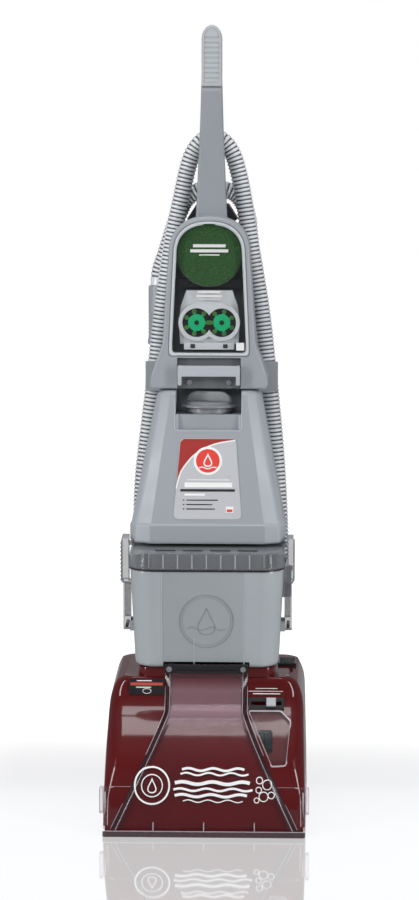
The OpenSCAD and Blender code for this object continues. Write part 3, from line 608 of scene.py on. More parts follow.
def hose_line(spacing):
    """Evenly spaced points on the smooth curve through the route."""
    route = [Vector(p) for p in HOSE_ROUTE]
    dense = []
    for i in range(len(route) - 1):
        p0, p1, p2 = route[max(i - 1, 0)], route[i], route[i + 1]
        p3 = route[min(i + 2, len(route) - 1)]
        d = [(b - a).length ** 0.5 or 1.0 for a, b in ((p0, p1), (p1, p2), (p2, p3))]
        m1 = (p1 - p0) / d[0] - (p2 - p0) / (d[0] + d[1]) + (p2 - p1) / d[1] if i else (p2 - p1) / d[1]
        m2 = (p2 - p1) / d[1] - (p3 - p1) / (d[1] + d[2]) + (p3 - p2) / d[2] if i + 2 < len(route) \
            else (p2 - p1) / d[1]
        m1, m2 = m1 * d[1], m2 * d[1]
        for k in range(60):
            t = k / 60
            dense.append((2 * t ** 3 - 3 * t ** 2 + 1) * p1 + (t ** 3 - 2 * t ** 2 + t) * m1
                         + (3 * t ** 2 - 2 * t ** 3) * p2 + (t ** 3 - t ** 2) * m2)
    dense.append(route[-1])
    out, carried = [dense[0]], 0.0
    for a, b in zip(dense, dense[1:]):
        step = (b - a).length
        while carried + step >= spacing:
            a = a.lerp(b, (spacing - carried) / step)
            out.append(a)
            step, carried = (b - a).length, 0.0
        carried += step
    out.append(route[-1])
    return out


def hose_material():
    """Clear corrugated wall over a dark wire helix: pale ridges, dark thin valleys."""
    mat, tree, shader = new_material("hose_corrugated")
    ridge = node(tree, "Attribute", attribute_name="ridge")
    pale = ramp(tree, ridge.outputs["Fac"], [(0.10, (0.024, 0.026, 0.029)), (0.36, (0.36, 0.38, 0.405)),
                                             (0.62, (0.76, 0.79, 0.82)), (1.0, (0.90, 0.92, 0.94))])
    dust = ramp(tree, noise(tree, 14, 4), [(0.3, (0.86, 0.87, 0.88)), (0.7, (1, 1, 1))])
    feed(tree, shader, {
        "Base Color": multiplied(tree, pale, dust), "Roughness": span(tree, noise(tree, 60, 4), 0.16, 0.30),
        "Normal": bump(tree, noise(tree, 220), 0.08, 0.0005), "Coat Weight": 0.5})
    return mat


def make_hose():
    """A tube along the route whose radius goes in and out, with the ridge height kept for its material."""
    sides, plain_end = 24, 12
    line = hose_line(HOSE_PITCH / RINGS_PER_RIDGE)
    rings, ridges = [], []
    u = Vector((1, 0, 0))
    for i, p in enumerate(line):
        ahead = (line[min(i + 1, len(line) - 1)] - line[max(i - 1, 0)]).normalized()
        u = (u - ahead * u.dot(ahead)).normalized()
        v = ahead.cross(u)
        ridge = (0.5 - 0.5 * math.cos(2 * math.pi * i / RINGS_PER_RIDGE)) ** 0.75
        if i < plain_end or i >= len(line) - plain_end:
            ridge = 0.8
        r = HOSE_DIAMETER / 2 - 1.8 * (1 - ridge) + 0.35
        rings.append([p + r * (math.cos(t) * u + math.sin(t) * v)
                      for t in (2 * math.pi * k / sides for k in range(sides))])
        ridges += [ridge] * sides
    mesh = loft(rings)
    mesh.attributes.new(name="ridge", type="FLOAT", domain="POINT").data.foreach_set("value", ridges)
    hose = piece("hose_corrugated", mesh, "handle", hose_material(), "hose_plastic", ["hose"], 80)
    path = [HANDLE @ p for p in hose_line(20)]
    make_hose_grip()


def make_hose_grip():
    """Ribbed cuff that the hose goes into, standing beside its left strand."""
    x, w, low, high = -82, 79, 560, 649.8
    profile = [(13.5, low), (15.5, low), (17, low + 1.5), (17, low + 8), (16, low + 9.5)]
    for k in range(6):
        h = low + 14 + 6 * k
        profile += [(16, h), (15.2, h + 0.8), (15.2, h + 2), (16, h + 2.8)]
    profile += [(16, high - 22), (16, high - 2), (15, high), (11.5, high), (11.5, low + 41), (13.5, low + 40)]
    rings = [[(*p, h) for p in circle(x, w, r)] for r, h in profile]
    return piece("hose_grip_ribbed", loft(rings, looped=True), "handle", GREY, "hose_grip", ["hose_grip"])


# ---------- base: hood, nozzle, controls ----------
HOOD_TOP = 208
HOOD_FRONT = smooth_line([(-198, 12), (-188, 60), (-167, 105), (-142, 133), (-115.8, 153), (-100, 163),
                          (-84, 180), (-78, 208)])
HOOD_BACK = smooth_line([(150, 12), (150, 135), (142, 165), (125, 190), (100, 205), (60, 208)])
HOOD_HALF = smooth_line([(146, 12), (144.5, 100), (143, 139), (141.5, 171), (139, 183), (135, 194),
                         (129, 203), (120, 208)])
NOZZLE_FRONT = smooth_line([(-210, 0), (-208, 12), (-196, 60), (-175, 105), (-150, 138), (-125, 158),
                            (-105, 170), (-92, 185), (-86, 205), (-84, 216)])
NOZZLE_LOW, NOZZLE_TOP = 8, 216
WALL_FLARE = 7
# below the crest the nozzle widens towards the floor
CREST = 162
WINDOW = [(62, 163), (109, 163), (124, 152), (118, 98), (104, 97), (97, 97)]
WHEEL = (145, 65)


def hood_ring(z, inset):
    at = min(z + (inset * 0.8 if z > 20 else 0), HOOD_TOP)
    half = HOOD_HALF(at) - inset
    front, back = HOOD_FRONT(at) + inset, HOOD_BACK(at) - inset
    low, high = (z - 55) / 45, (z - 150) / 58
    corner = mix_up(12, 26, min(max(low, 0), 1)) if z < 150 else mix_up(26, 17, high)
    return [(*p, z) for p in rounded(rect(-half, front, half, back), [corner, corner, 20, 20], 9)]


def hood_solid(inset):
    bottom = 12 if not inset else 0
    levels = [bottom] + [mix_up(14, HOOD_TOP - 4, k / 44) for k in range(45)]
    rings = [hood_ring(z, inset) for z in levels]
    if not inset:
        for z, extra in ((HOOD_TOP - 2, 1.0), (HOOD_TOP - 0.6, 2.6), (HOOD_TOP, 5)):
            rings.append([(p[0] * (1 - extra / 120), p[1] + (extra if p[1] < 0 else -extra), z)
                          for p in hood_ring(HOOD_TOP - 2, 0)])
    return loft(rings)


def block_plan(cx, cy, width, depth, radius, levels, steps=8):
    """A block with rounded corners through levels of (z, inset)."""
    return loft([[(*p, z) for p in rounded(rect(cx - width / 2 + i, cy - depth / 2 + i, cx + width / 2 - i,
                                                cy + depth / 2 - i), max(radius - i, 0.5), steps)]
                 for z, i in levels])


def make_hood():
    pedestal = block_plan(0, -15, 200, 119, 18, [(188, 0), (219, 0), (221, 0.8), (222, 3)])
    outer = carve(hood_solid(0), pedestal, operation="UNION")
    arches = [rod((-160, *WHEEL), (160, *WHEEL), radius, 64) for radius in (71, 74)]
    inner = carve(hood_solid(3), arches[1], box((-93, 43, -1), (93, 171, 300)))
    slot = box((62, -3, -8), (112, 3, 4))
    slot.transform(ROW.inverted() @ PANEL)
    hose_hole, duct_hole = box((103, 4, 202), (131, 45, 215)), rod((0, -20, 200), (0, -20, 240), 24, 48)
    shell = carve(outer, arches[0], box((-90, 46, -1), (90, 171, 300)), inner, prism(WINDOW, -205, -60), slot,
                  hose_hole, duct_hole)
    piece("hood_gloss_shell", shell, "base", BURGUNDY, "hood_plastic", ["hood"], 32)


def nozzle_half(z):
    return 60 if z > CREST else 60 + 0.49 * (CREST - z)


def nozzle_point(x, z, lift=0.0, back=0.0):
    """A point on the clear cover: rounded towards its side walls."""
    half = nozzle_half(z) - WALL_FLARE
    edge = 4.0
    from_side = half - abs(x)
    round_off = edge - math.sqrt(max(edge ** 2 - (edge - from_side) ** 2, 0)) if from_side < edge else 0
    return (x, NOZZLE_FRONT(z) + round_off + back - lift, z)


def nozzle_sheet(back, rows=60):
    """Rows of points over the cover, closer together where it rounds off towards its sides."""
    grid = []
    for i in range(rows + 1):
        z = mix_up(NOZZLE_LOW, NOZZLE_TOP, i / rows)
        half = nozzle_half(z) - WALL_FLARE - back * 0.6
        columns = [-1 + 0.09 * k / 6 for k in range(6)] + [mix_up(-0.91, 0.91, k / 24) for k in range(25)]
        columns += [-c for c in reversed(columns[:6])]
        grid.append([nozzle_point(half * c, z, back=back) for c in columns])
    return grid


def make_nozzle():
    cover = slab(nozzle_sheet(0), nozzle_sheet(2.6))
    piece("nozzle_cover", cover, "base", NOZZLE_CLEAR, "clear_plastic", ["floor_nozzle"], 60)
    walls = []
    for side in (-1, 1):
        outer, inner = [], []
        for i in range(49):
            z = mix_up(NOZZLE_LOW, NOZZLE_TOP, i / 48)
            half, front = nozzle_half(z), NOZZLE_FRONT(z) + 3
            deep = max(HOOD_FRONT(min(max(z + 0.8, 12), HOOD_TOP)) - 0.6, front + 0.5)
            outer.append([(side * (half - WALL_FLARE), front, z), (side * half, deep, z)])
            inner.append([(side * (half - WALL_FLARE - 2.4), front, z), (side * (half - 2.4), deep, z)])
        walls.append(slab(outer, inner))
    piece("nozzle_side_walls", walls, "base", EDGE_CLEAR, "clear_plastic", sharp=60)
    wings = []
    for side in (-1, 1):
        sheets = []
        for back in (0, 2.4):
            grid = []
            for i in range(13):
                z = mix_up(NOZZLE_LOW, 68 - back, i / 12)
                near, far = nozzle_half(z) - 4, 146 - back
                y = NOZZLE_FRONT(z) + 9 + back
                row = [(side * mix_up(near, far - 9, k / 4), y, z) for k in range(5)]
                row += [(side * (far - 9 + 9 * math.sin(a)), y + 9 * (1 - math.cos(a)), z)
                        for a in (math.pi / 2 * k / 6 for k in range(1, 7))]
                grid.append(row)
            sheets.append(grid)
        wings.append(slab(*sheets))
    piece("nozzle_wings", wings, "base", WING_CLEAR, "clear_plastic", sharp=50)
    lip = block_plan(0, -206.5, 292, 7, 3, [(0, 1), (1, 0), (7, 0), (8, 1)])
    piece("nozzle_lip", lip, "base", EDGE_CLEAR, "clear_plastic")
    ribs = [box((x - 0.7, -206, 9), (x + 0.7, -199, 20)) for x in (-73, 0, 73)]
    # Pale strips painted as highlights: along the top of the lip, the tops and outer ends of the wings, and
    # both edges of each side wall.
    rims = [box((-145, -208.6, 8), (145, -207.4, 9))]
    top, end = NOZZLE_FRONT(68) + 8, NOZZLE_FRONT(30) + 14
    for x in (-137, 104):
        rims.append(box((x, top, 66.8), (x + 33, top + 2, 69)))
    for x in (-144, 142):
        rims.append(box((x, end, 20), (x + 2, end + 2, 62)))
    for side in (-1, 1):
        for off, back in ((0.4, 3.4), (7.2, 9)):
            levels = [mix_up(10, 214, k / 40) for k in range(41)]
            path = [(side * (nozzle_half(z) - WALL_FLARE + off), z) for z in levels]
            rims.append(strip(path, 0.7, lambda x, z, lift: (x, NOZZLE_FRONT(z) + back - lift, z), 0.4))
    piece("nozzle_ribs_and_edge_highlights", ribs + rims, "base", RIM_CLEAR, "clear_plastic")
    piece("hood_skirt", box((-143, -198.4, 5.4), (143, -196, 14)), "base", BURGUNDY, "hood_plastic")


def make_nozzle_print():
    """Generic picture on the clear cover: a ringed drop, ribbons of flow, and bubbles."""
    lines = [strip(circle(-75, 72, 25), 2.4, nozzle_point, closed=True),
             strip(circle(-75, 72, 15), 1.4, nozzle_point, closed=True),
             strip(drop(-75, 72, 9.5), 1.6, nozzle_point, closed=True)]
    for k, (h, x0, x1, width) in enumerate([(94, -32, 58, 3.2), (88, -34, 64, 2.4), (76, -42, 66, 4.6),
                                            (67, -44, 70, 3.0), (59, -42, 62, 3.8), (51.5, -30, 56, 1.4)]):
        lines.append(strip(wave(x0, x1, h, 1.7, 2.5 + 0.5 * (k % 2)), width, nozzle_point))
    for x, z, r in [(80, 80, 4.5), (91, 74, 6.5), (79, 67, 4), (97, 60, 4.5), (86, 58, 6.5), (76, 53, 3.5)]:
        lines.append(strip(circle(x, z, r, 24), 1.2, nozzle_point, closed=True))
    piece("nozzle_print", lines, "base", WHITE, "label")


def make_controls():
    def flat(x, s, lift):
        return (x, s, 1.0 + lift)
    bars = [strip([(-102, 8.4), (-80, 8.4)], 1.4, flat), strip([(-103, -1.2), (-81, -1.2)], 1.4, flat),
            strip([(-87 + 6 * x, -6.6 + 3.6 * y) for x, y in circle(0, 0, 1, 24)], 0.9, flat, closed=True)]
    bar = strip([(-111, 3.6), (-64, 3.6)], 4.2, flat)
    piece("selector_print", bars, "base", WHITE, "label", place=STEEP_PANEL)
    piece("selector_bar", bar, "base", SALMON, "label", place=STEEP_PANEL)

    def on_hood(x, z, lift):
        return (x, HOOD_FRONT(z) - lift, z)
    marks = [strip([(72, 192), (104, 192)], 0.9, on_hood), strip([(62, 188), (112, 188)], 0.7, on_hood),
             strip([(68, 184.5), (108, 184.5)], 1.1, on_hood)]
    piece("speed_marks", marks, "base", WHITE, "label")
    knob = [bevelled(box((88, -7, 2.2), (102, 7, 7)), 0.8), box((92.4, -1.9, -5), (97.6, 1.9, 2.5))]
    piece("speed_slider_knob", knob, "speed_slider", LIGHT_GREY, "speed_slider", ["speed_slider"],
          place=PANEL)
    outline = rounded(WINDOW, [2, 5, 5, 4, 2, 2], 4)
    rim = strip(outline, 1.8, lambda x, z, lift: (x, HOOD_FRONT(z) + 0.6 - lift * 3, z), 0.5, closed=True)
    piece("window_rim", rim, "base", RIM_CLEAR, "clear_plastic")
    sheets = [[[(x, HOOD_FRONT(z) + deep, z) for x in (58, 70, 82, 94, 106, 118, 128)]
               for z in range(94, 170, 5)] for deep in (8, 9.6)]
    port = prism(rounded(rect(76, 112, 98, 140), 4, 4), -200, -100)
    piece("turbine_duct", carve(slab(*sheets), port), "base", BURGUNDY, "hood_plastic", sharp=30)


# ---------- recovery tank ----------
TANK_Y = -17.5
TANK_LOW, TANK_RIM, LID_TOP = 222.4, 366, 394


def tank_size(z):
    t = (z - TANK_LOW) / (TANK_RIM - TANK_LOW)
    return mix_up(105, 112.5, t), mix_up(129, 135, t), mix_up(32, 34, t)


def tank_ring(z, inset):
    half, depth, radius = tank_size(z)
    half, depth = half - inset, depth / 2 - inset
    return [(p.x, TANK_Y + p.y, z) for p in rounded(rect(-half, -depth, half, depth), radius - inset, 12)]


def on_tank(x, z, lift):
    half, depth, _ = tank_size(z)
    return (x, TANK_Y - depth / 2 - lift, z)


def make_recovery_tank():
    levels = [(TANK_LOW + up, inset) for up, inset in ((0, 6), (0.8, 3.2), (2.5, 1.2), (5, 0.3))]
    levels += [(mix_up(TANK_LOW + 8, TANK_RIM - 4, k / 12), 0) for k in range(13)]
    outer = loft([tank_ring(z, inset) for z, inset in levels + [(TANK_RIM - 1, 0), (TANK_RIM, 0.6)]])
    inner = loft([tank_ring(235, 3), tank_ring(TANK_RIM + 5, 3)])
    pivots = [box((x - 4, y, 268), (x + 4, y + 8, 282)) for x in (-110, 110) for y in (-36, -6)]
    shell = carve(outer, inner, box((-63, -110, 200), (63, 60, 231.5)))
    shell = carve(shell, *pivots, operation="UNION")
    shell = carve(shell, *[rod((x, -60, 275), (x, 30, 275), 2.5) for x in (118.5, -118.5)])
    piece("recovery_tank_body", shell, "recovery_tank", SMOKE, "recovery_tank", ["recovery_tank"], 35)
    # The strips at x -65 and 55 are painted highlight lines on the creases beside the centre panel; the short
    # strip at x -18 is a rib.
    ribs = [strip([(x, 226), (x, top)], 1.3, on_tank, 0.5) for x, top in ((-65, 364), (55, 364), (-18, 268))]
    piece("tank_rib_and_highlight_lines", ribs, "recovery_tank", LIGHT_GREY, "recovery_tank")
    emblem = [strip(circle(0, 292, 39, 72), 1.5, on_tank, 0.4, closed=True),
              strip(circle(0, 292, 35.5, 72), 0.6, on_tank, 0.3, closed=True),
              strip(drop(0, 292, 20), 1.2, on_tank, 0.4, closed=True),
              strip(wave(-28, 28, 281, 2.5, 2), 1.0, on_tank, 0.4)]
    piece("tank_emblem", emblem, "recovery_tank", EMBOSS, "recovery_tank")


def make_lid():
    def plan(grow, z):
        outline = rect(-115.5 - grow, TANK_Y - 70.5 - grow, 115.5 + grow, TANK_Y + 70.5 + grow)
        return [(*p, z) for p in rounded(outline, 38 + grow, 12)]
    low = TANK_RIM + 2.4
    outer = loft([plan(-0.6, low), plan(0, low + 0.6), plan(0, low + 2.6), plan(-1.4, low + 3.4),
                  plan(-1.6, low + 5), plan(-2.6, LID_TOP - 5), plan(-3.4, LID_TOP - 2.4),
                  plan(-5, LID_TOP - 0.8), plan(-8, LID_TOP)])
    inner = loft([plan(-4.5, low - 1), plan(-5.5, LID_TOP - 3)])
    shell = carve(outer, inner)
    piece("lid_shell", shell, "recovery_tank", LID_CLEAR, "clear_plastic", ["tank_lid"], 40)
    # the lid's ribs get the pale grey as painted highlights
    ribs = [box((x - 1, -84.2, low + 1.5), (x + 1, -76, LID_TOP - 4)) for x in range(-63, 64, 21)]
    ribs += [box((x - 0.8, -80, low + 1.5), (x + 0.8, -60, LID_TOP - 4)) for x in (-84, 84)]
    piece("lid_ribs", ribs, "recovery_tank", PAINTED_HIGHLIGHT_GREY, "clear_plastic")
    core = block_plan(0, TANK_Y - 2, 172, 118, 12, [(low + 1, 0), (LID_TOP - 3.6, 0)])
    piece("lid_core", core, "recovery_tank", DARK_GREY, "clear_plastic")
    vents = [block_plan(x, -69, 30, 9, 3, [(LID_TOP - 0.4, 0), (LID_TOP + 0.5, 0)])
             for x in (-60, -20, 20, 60)]
    piece("lid_slots", vents, "recovery_tank", BLACK, "black_plastic")


# ---------- clean-water tank ----------
SOL_BACK, SOL_FRONT, SOL_BAND = -47, -172, 311
SOL_FLOOR, SOL_TOP, SOL_TOP_FRONT = 398.5, 498, -130
CAP_W = -96


def floor_height(w):
    """Height on the handle of the tank's floor, which is level while the handle leans."""
    return (SOL_FLOOR - 105 + w * math.sin(LEAN)) / math.cos(LEAN)


def solution_plan(h, side, front, w, inset=0.0, floor=False):
    """The tank's outline at height h or, for its floor, that far above the floor: half as wide as side at
    the back and as front at the front, which lies at w."""
    side, front, w, back = side - inset, front - inset * 0.6, w + inset, SOL_BACK - inset * 0.3
    outline = mirrored([(side, back), (side, w + 27), (side - 7, w + 9), (front, w)])
    points = rounded(outline, [4, 14, 12, 5, 5, 12, 14, 4], 6)
    return [(p.x, p.y, floor_height(p.y) + h if floor else h) for p in points]


def make_solution_tank():
    body = [solution_plan(up, 114.5, 84, SOL_FRONT, inset, True)
            for up, inset in ((0, 4), (0.8, 1.6), (3, 0.3), (6, 0))]
    for up, side, front, back in ((-4, 114.5, 84, 0), (-1.2, 114.2, 83.8, 0.4), (0.6, 112.6, 82.4, 2.4)):
        body.append(solution_plan(SOL_BAND + up, side, front, SOL_FRONT + back))
    for k in range(13):
        t = k / 12
        body.append(solution_plan(mix_up(SOL_BAND + 2, SOL_TOP - 3, t), mix_up(112.3, 77.6, t),
                                  mix_up(82, 57, t), mix_up(SOL_FRONT + 3, SOL_TOP_FRONT, t)))
    for h, inset in ((SOL_TOP, 0.8), (SOL_TOP + 3, 2.6), (SOL_TOP + 5.2, 5.4), (SOL_TOP + 6.2, 9)):
        body.append(solution_plan(h, 77.2, 56.8, SOL_TOP_FRONT, inset))
    pocket = block_plan(0, -120.5, 97, 139, 12, [(470, 0), (540, 0)])
    front_recess = block_plan(0, -171, 97, 80, 6, [(448, 0), (540, 0)])
    tank = carve(loft(body), pocket, front_recess, rod((0, CAP_W, 440), (0, CAP_W, 500), 26, 64))
    piece("clean_tank_body", tank, "solution_tank", TANK, "solution_tank", ["solution_tank"], 28)
    neck = lathe([(26.5, 466), (30, 466), (30, 475.2), (29, 476), (27.4, 476), (26.5, 475.2)], 64)
    neck.transform(Matrix.Translation((0, CAP_W, 0)))
    piece("clean_tank_neck", neck, "solution_tank", LIGHT_GREY, "solution_tank")

    def on_front(x, h, lift):
        t = (h - SOL_BAND - 2) / (SOL_TOP - SOL_BAND - 5)
        return (x, mix_up(SOL_FRONT + 3, SOL_TOP_FRONT, t) - lift, h)
    recess = rounded([(49.4, 494), (49.4, 446.6), (-49.4, 446.6), (-49.4, 494)], [0.1, 5, 5, 0.1], 5)
    lip = strip(recess[1:-1], 1.5, on_front, 0.8)
    piece("clean_tank_edge", lip, "solution_tank", LIGHT_GREY, "solution_tank")


def make_cap():
    """Screw cap with a turning fin across it and grips round its edge."""
    lip = lathe([(30.6, 472), (34, 472), (34, 478.2), (39.6, 478.4), (41, 479.4), (41, 481.4), (40, 482.8),
                 (37, 483.4), (35.5, 484), (33.5, 487.2), (31, 488), (22, 488), (21, 487.4),
                 (0.5, 487.4)], 72)
    levels = ((486, 36, 4), (490, 35.5, 3.8), (494, 34, 3.4), (498, 30, 3), (501, 24, 2.4), (502, 18, 1.6))
    fin = loft([[(*p, h) for p in rounded(rect(-half, -thick, half, thick), thick * 0.9, 5)]
                for h, half, thick in levels])
    fin.transform(Matrix.Rotation(math.radians(-20), 4, "Z"))
    grips = [rod((x, y, 479), (x, y, 483), 1.2, 8) for x, y in circle(0, 0, 38.2, 36)]
    cap = join(carve(lip, fin, operation="UNION"), *grips)
    disc = lathe([(20.5, 487.5), (20.5, 488.2), (0.5, 488.2)], 48)
    for mesh in (cap, disc):
        mesh.transform(Matrix.Translation((0, CAP_W, 0)))
    piece("cap_moulded", cap, "tank_cap", CAP_GREY, "tank_cap", ["tank_cap"], 35)
    piece("cap_centre", disc, "tank_cap", DARK_GREY, "tank_cap")


LABEL_SLOPE = math.atan2(39, 187)
LABEL = HANDLE @ Matrix.Translation((0, SOL_FRONT + 2.8, SOL_BAND)) @ Matrix.Rotation(-LABEL_SLOPE, 4, "X")


def on_label(x, s, lift):
    return (x, -0.85 - lift, s)


def over_label(x, s, lift):
    """For print that lies on other print."""
    return on_label(x, s, lift + 0.3)


def make_label():
    """Film on the tank's front with plain printed shapes in layers."""
    def printed(name, mesh, material, nodes=()):
        piece(name, mesh, "solution_tank", material, "label", nodes, place=LABEL)
    base = rounded([(-50, 8), (50, 8), (41, 127), (-41, 127)], 7, 8)
    printed("label_film", prism(base, -0.85, -0.02), FILM, ["tank_label"])
    # red field over the top left, edged by a curve that passes behind the badge
    rise = smooth_line([(53, -46), (71, -42), (89, -32), (105, -17), (118, 8), (124.5, 40)])
    arc = [(x, rise(x)) for x in (mix_up(-46, 40, k / 24) for k in range(25))]
    red = loft([[on_label(x, s, lift) for x, s in arc + [(38, 126.4), (-36, 126.4), (-40.6, 121.6)]]
                for lift in (0.16, 0.0)])
    printed("label_red", red, RED_PRINT)
    white = [strip(arc, 2.2, lambda x, s, lift: on_label(x, s, lift + 0.1), 0.3),
             strip(circle(0, 94, 19.2, 56), 3.6, on_label, 0.5, closed=True),
             strip([(-30, 66), (32, 66)], 1.0, on_label), strip([(-34, 58.5), (36, 58.5)], 7.0, on_label),
             strip([(-34, 44), (-4, 44)], 3.2, on_label), strip([(27, 22), (38, 22)], 9, on_label)]
    printed("label_white", white, WHITE)
    badge = circle(0, 94, 17.6, 56)
    printed("label_badge", prism(badge, -1.15, -0.83), BRIGHT_RED)
    mark = [strip(drop(0, 95, 9), 2.0, over_label, closed=True),
            strip(wave(-13, 13, 83.5, 1.2, 1.5), 1.5, over_label)]
    printed("label_drop", mark, WHITE)
    black = [strip([(-40, 50.5), (40, 50.5)], 3.6, on_label)]
    for s, end in ((36, 15), (29.5, 7), (23, 11)):
        black += [strip([(-36, s), (-34, s)], 1.8, on_label), strip([(-31, s), (end, s)], 1.6, on_label)]
    printed("label_black", black, BLACK_PRINT)
    block = strip([(28.5, 20.6), (36.5, 20.6)], 4, over_label)
    printed("label_block", block, BRIGHT_RED)


# ---------- handle and caddy ----------
ARCH_MID, ARCH_TOP = 704, 760
COLUMN_FRONT = -46
CADDY_FRONT = -112
PAD_H = 706
BRUSH_X, BRUSH_H = 18.45, 603.6
GOLDEN_ANGLE = 2.399963


def arch(half_width, rise, steps=32):
    """Arch top from right to left, a little squarer than a half circle."""
    return [(half_width * math.copysign(abs(c) ** 0.85, c), ARCH_MID + rise * abs(s) ** 0.85)
            for c, s in circle(0, 0, 1, 2 * steps)[1:steps]]


def arched(side, radii, rise):
    """An outline under an arch, from the points and corner radii up its right side."""
    low = rounded([(-x, h) for x, h in reversed(side)] + side + [(0, 900)], radii[::-1] + radii + [1], 5)
    return [tuple(p) for p in low[:-6]] + arch(side[-1][0], rise)


def shoulder_outline(t):
    side = [(87 - t, 506 + t), (87 - t, 522), (78 - t, 549), (69 - t, 572), (65 - t, 637), (60 - t, ARCH_MID)]
    return arched(side, [6, 10, 12, 20, 20, 1], ARCH_TOP - ARCH_MID - t)


def door_outline(t):
    side = [(57 - t, 557 + t), (57 - t, 575), (54 - t, 640), (51 - t, ARCH_MID)]
    return arched(side, [5, 20, 30, 1], ARCH_TOP - 9 - ARCH_MID - t)


def make_caddy():
    body = plate([shoulder_outline(0)], CADDY_FRONT, COLUMN_FRONT - 0.2, 3.5, half=True)
    inside = carve(prism(shoulder_outline(3), CADDY_FRONT + 3, 0), box((-100, -200, 400), (100, 50, 554)))
    body = carve(body, inside, prism(door_outline(0), -120, CADDY_FRONT + 5),
                 block_plan(0, -108, 94, 20, 3, [(490, 0), (552, 0)]), box((-60, -94, 500), (60, 0, 550)))
    piece("caddy_shell", body, "handle", GREY, "grey_plastic", ["caddy_frame"], 30)
    # the rim round the door gets the pale grey as a painted highlight line
    rim = plate([door_outline(-1.6), door_outline(1.6)], CADDY_FRONT - 1.0, CADDY_FRONT + 1.2, 0.9)
    piece("caddy_rim", rim, "handle", PAINTED_HIGHLIGHT_GREY, "grey_plastic", sharp=50)
    groove = plate([door_outline(-3.2), door_outline(-1.9)], CADDY_FRONT - 0.15, CADDY_FRONT + 0.3, 0.1)
    piece("caddy_groove", groove, "handle", DARK_GREY, "grey_plastic")
    back = plate([shoulder_outline(3.4)], -50, COLUMN_FRONT - 0.3, 0.4)
    back = carve(back, box((-100, -100, 400), (100, 0, 554.4)))
    piece("caddy_back_panel", back, "handle", DARK_GREY, "dark_plastic", ["caddy_back"])
    door = plate([door_outline(1.2)], CADDY_FRONT, CADDY_FRONT + 2.4, 0.6)
    door = carve(door, prism(rect(-7, 744, 7, 790), -130, -100))
    door = join(door, rod((-50, CADDY_FRONT + 1.5, 560.2), (50, CADDY_FRONT + 1.5, 560.2), 1.5))
    piece("caddy_window", door, "caddy_door", DOOR_CLEAR, "clear_plastic", ["caddy_door"], 40)
    edge = plate([door_outline(1.6), door_outline(2.8)], CADDY_FRONT - 0.3, CADDY_FRONT + 0.3, 0.12)
    edge = carve(edge, prism(rect(-9, 742, 9, 790), -130, -100))
    piece("caddy_window_edge", edge, "caddy_door", LIGHT_GREY, "clear_plastic")
    screws = [rod((x, -103.5, 515), (x, -101, 515), 4, 24) for x in (-29, 29)]
    piece("plate_screws", screws, "handle", STEEL, "steel")
    tab = block_plan(46, CADDY_FRONT - 0.6, 12, 2.4, 1, [(563.2, 0.4), (563.7, 0), (574, 0), (574.5, 0.4)])
    piece("caddy_tab", tab, "caddy_door", WHITE_TAB, "clear_plastic")
    strap = block_plan(0, -86.6, 116, 4, 1.2, [(655, 0.6), (656, 0), (667, 0), (668, 0.6)])
    piece("caddy_strap", strap, "handle", BLACK, "black_plastic", ["tool_clip"])


def make_scrub_pad():
    """Round fibre pad: a dense disc whose surface is pushed in and out like tangled fibre."""
    rings = [(mix_up(0.5, 47.5, k / 30), -104.4) for k in range(31)]
    rings += [(49, -103), (49.5, -101), (49.5, -97), (49.5, -93), (49, -91), (47.5, -90), (30, -90),
              (0.5, -90)]
    grid = []
    for r, w in rings:
        row = []
        for k in range(150):
            t = 2 * math.pi * k / 150
            p = Vector((r * math.cos(t), w, r * math.sin(t)))
            rough = 0.55 * noise_field.noise(p * 0.45) + 0.45 * noise_field.noise(p * 1.1)
            away = Vector((math.cos(t), 0, math.sin(t))) if r > 48 else Vector((0, -1 if w < -97 else 1, 0))
            p += away * rough * (0.9 if w < -97 or r > 48 else 0.2)
            row.append((p.x, p.y, PAD_H + p.z))
        grid.append(row)
    hub = rod((0, -90.2, PAD_H), (0, -80, PAD_H), 30, 48)
    piece("scrub_pad_fibre", loft(grid), "handle", PAD, "scrub_pad", ["scrub_pad"], 80)
    piece("scrub_pad_hub", hub, "handle", BLACK, "scrub_pad")

    def on_pad(x, h, lift):
        return (x, -105.3 - lift, h)
    marks = [strip([(-half, h), (half, h)], width, on_pad, 0.5)
             for half, h, width in ((24, 717, 4.6), (28, 709.5, 4.6), (15, 703.5, 1.8))]
    piece("scrub_pad_print", marks, "handle", WHITE, "label")


def make_hand_tool():
    softened("hand_tool", TOOL_GREY, 0.8)
    bars = [strip([(-half, h), (half, h)], width, lambda x, h, lift: (x, -106 - lift, h), 0.4)
            for half, h, width in ((17, 649, 3.8), (19, 643, 3.8), (17, 638.6, 1.3))]
    piece("hand_tool_print", bars, "handle", WHITE, "label")
    screws = [plate([rounded(rect(x - 3.4, 566, x + 3.4, 572), 1, 3)], -107.2, -105.8, 0.3)
              for x in (-24, 24)]
    piece("hand_tool_screws", screws, "handle", CHARCOAL, "hand_tool")
    for end, side in (("left", -1), ("right", 1)):
        well = prism(circle(side * BRUSH_X, BRUSH_H, 21.0, 56), -101.4, -101.02)
        well = carve(well, prism(circle(side * BRUSH_X, BRUSH_H, 3.6, 24), -103, -99))
        piece("hand_tool_well_" + end, well, "handle", BLACK, "hand_tool")
        make_hand_brush("hand_brush_" + end, side)


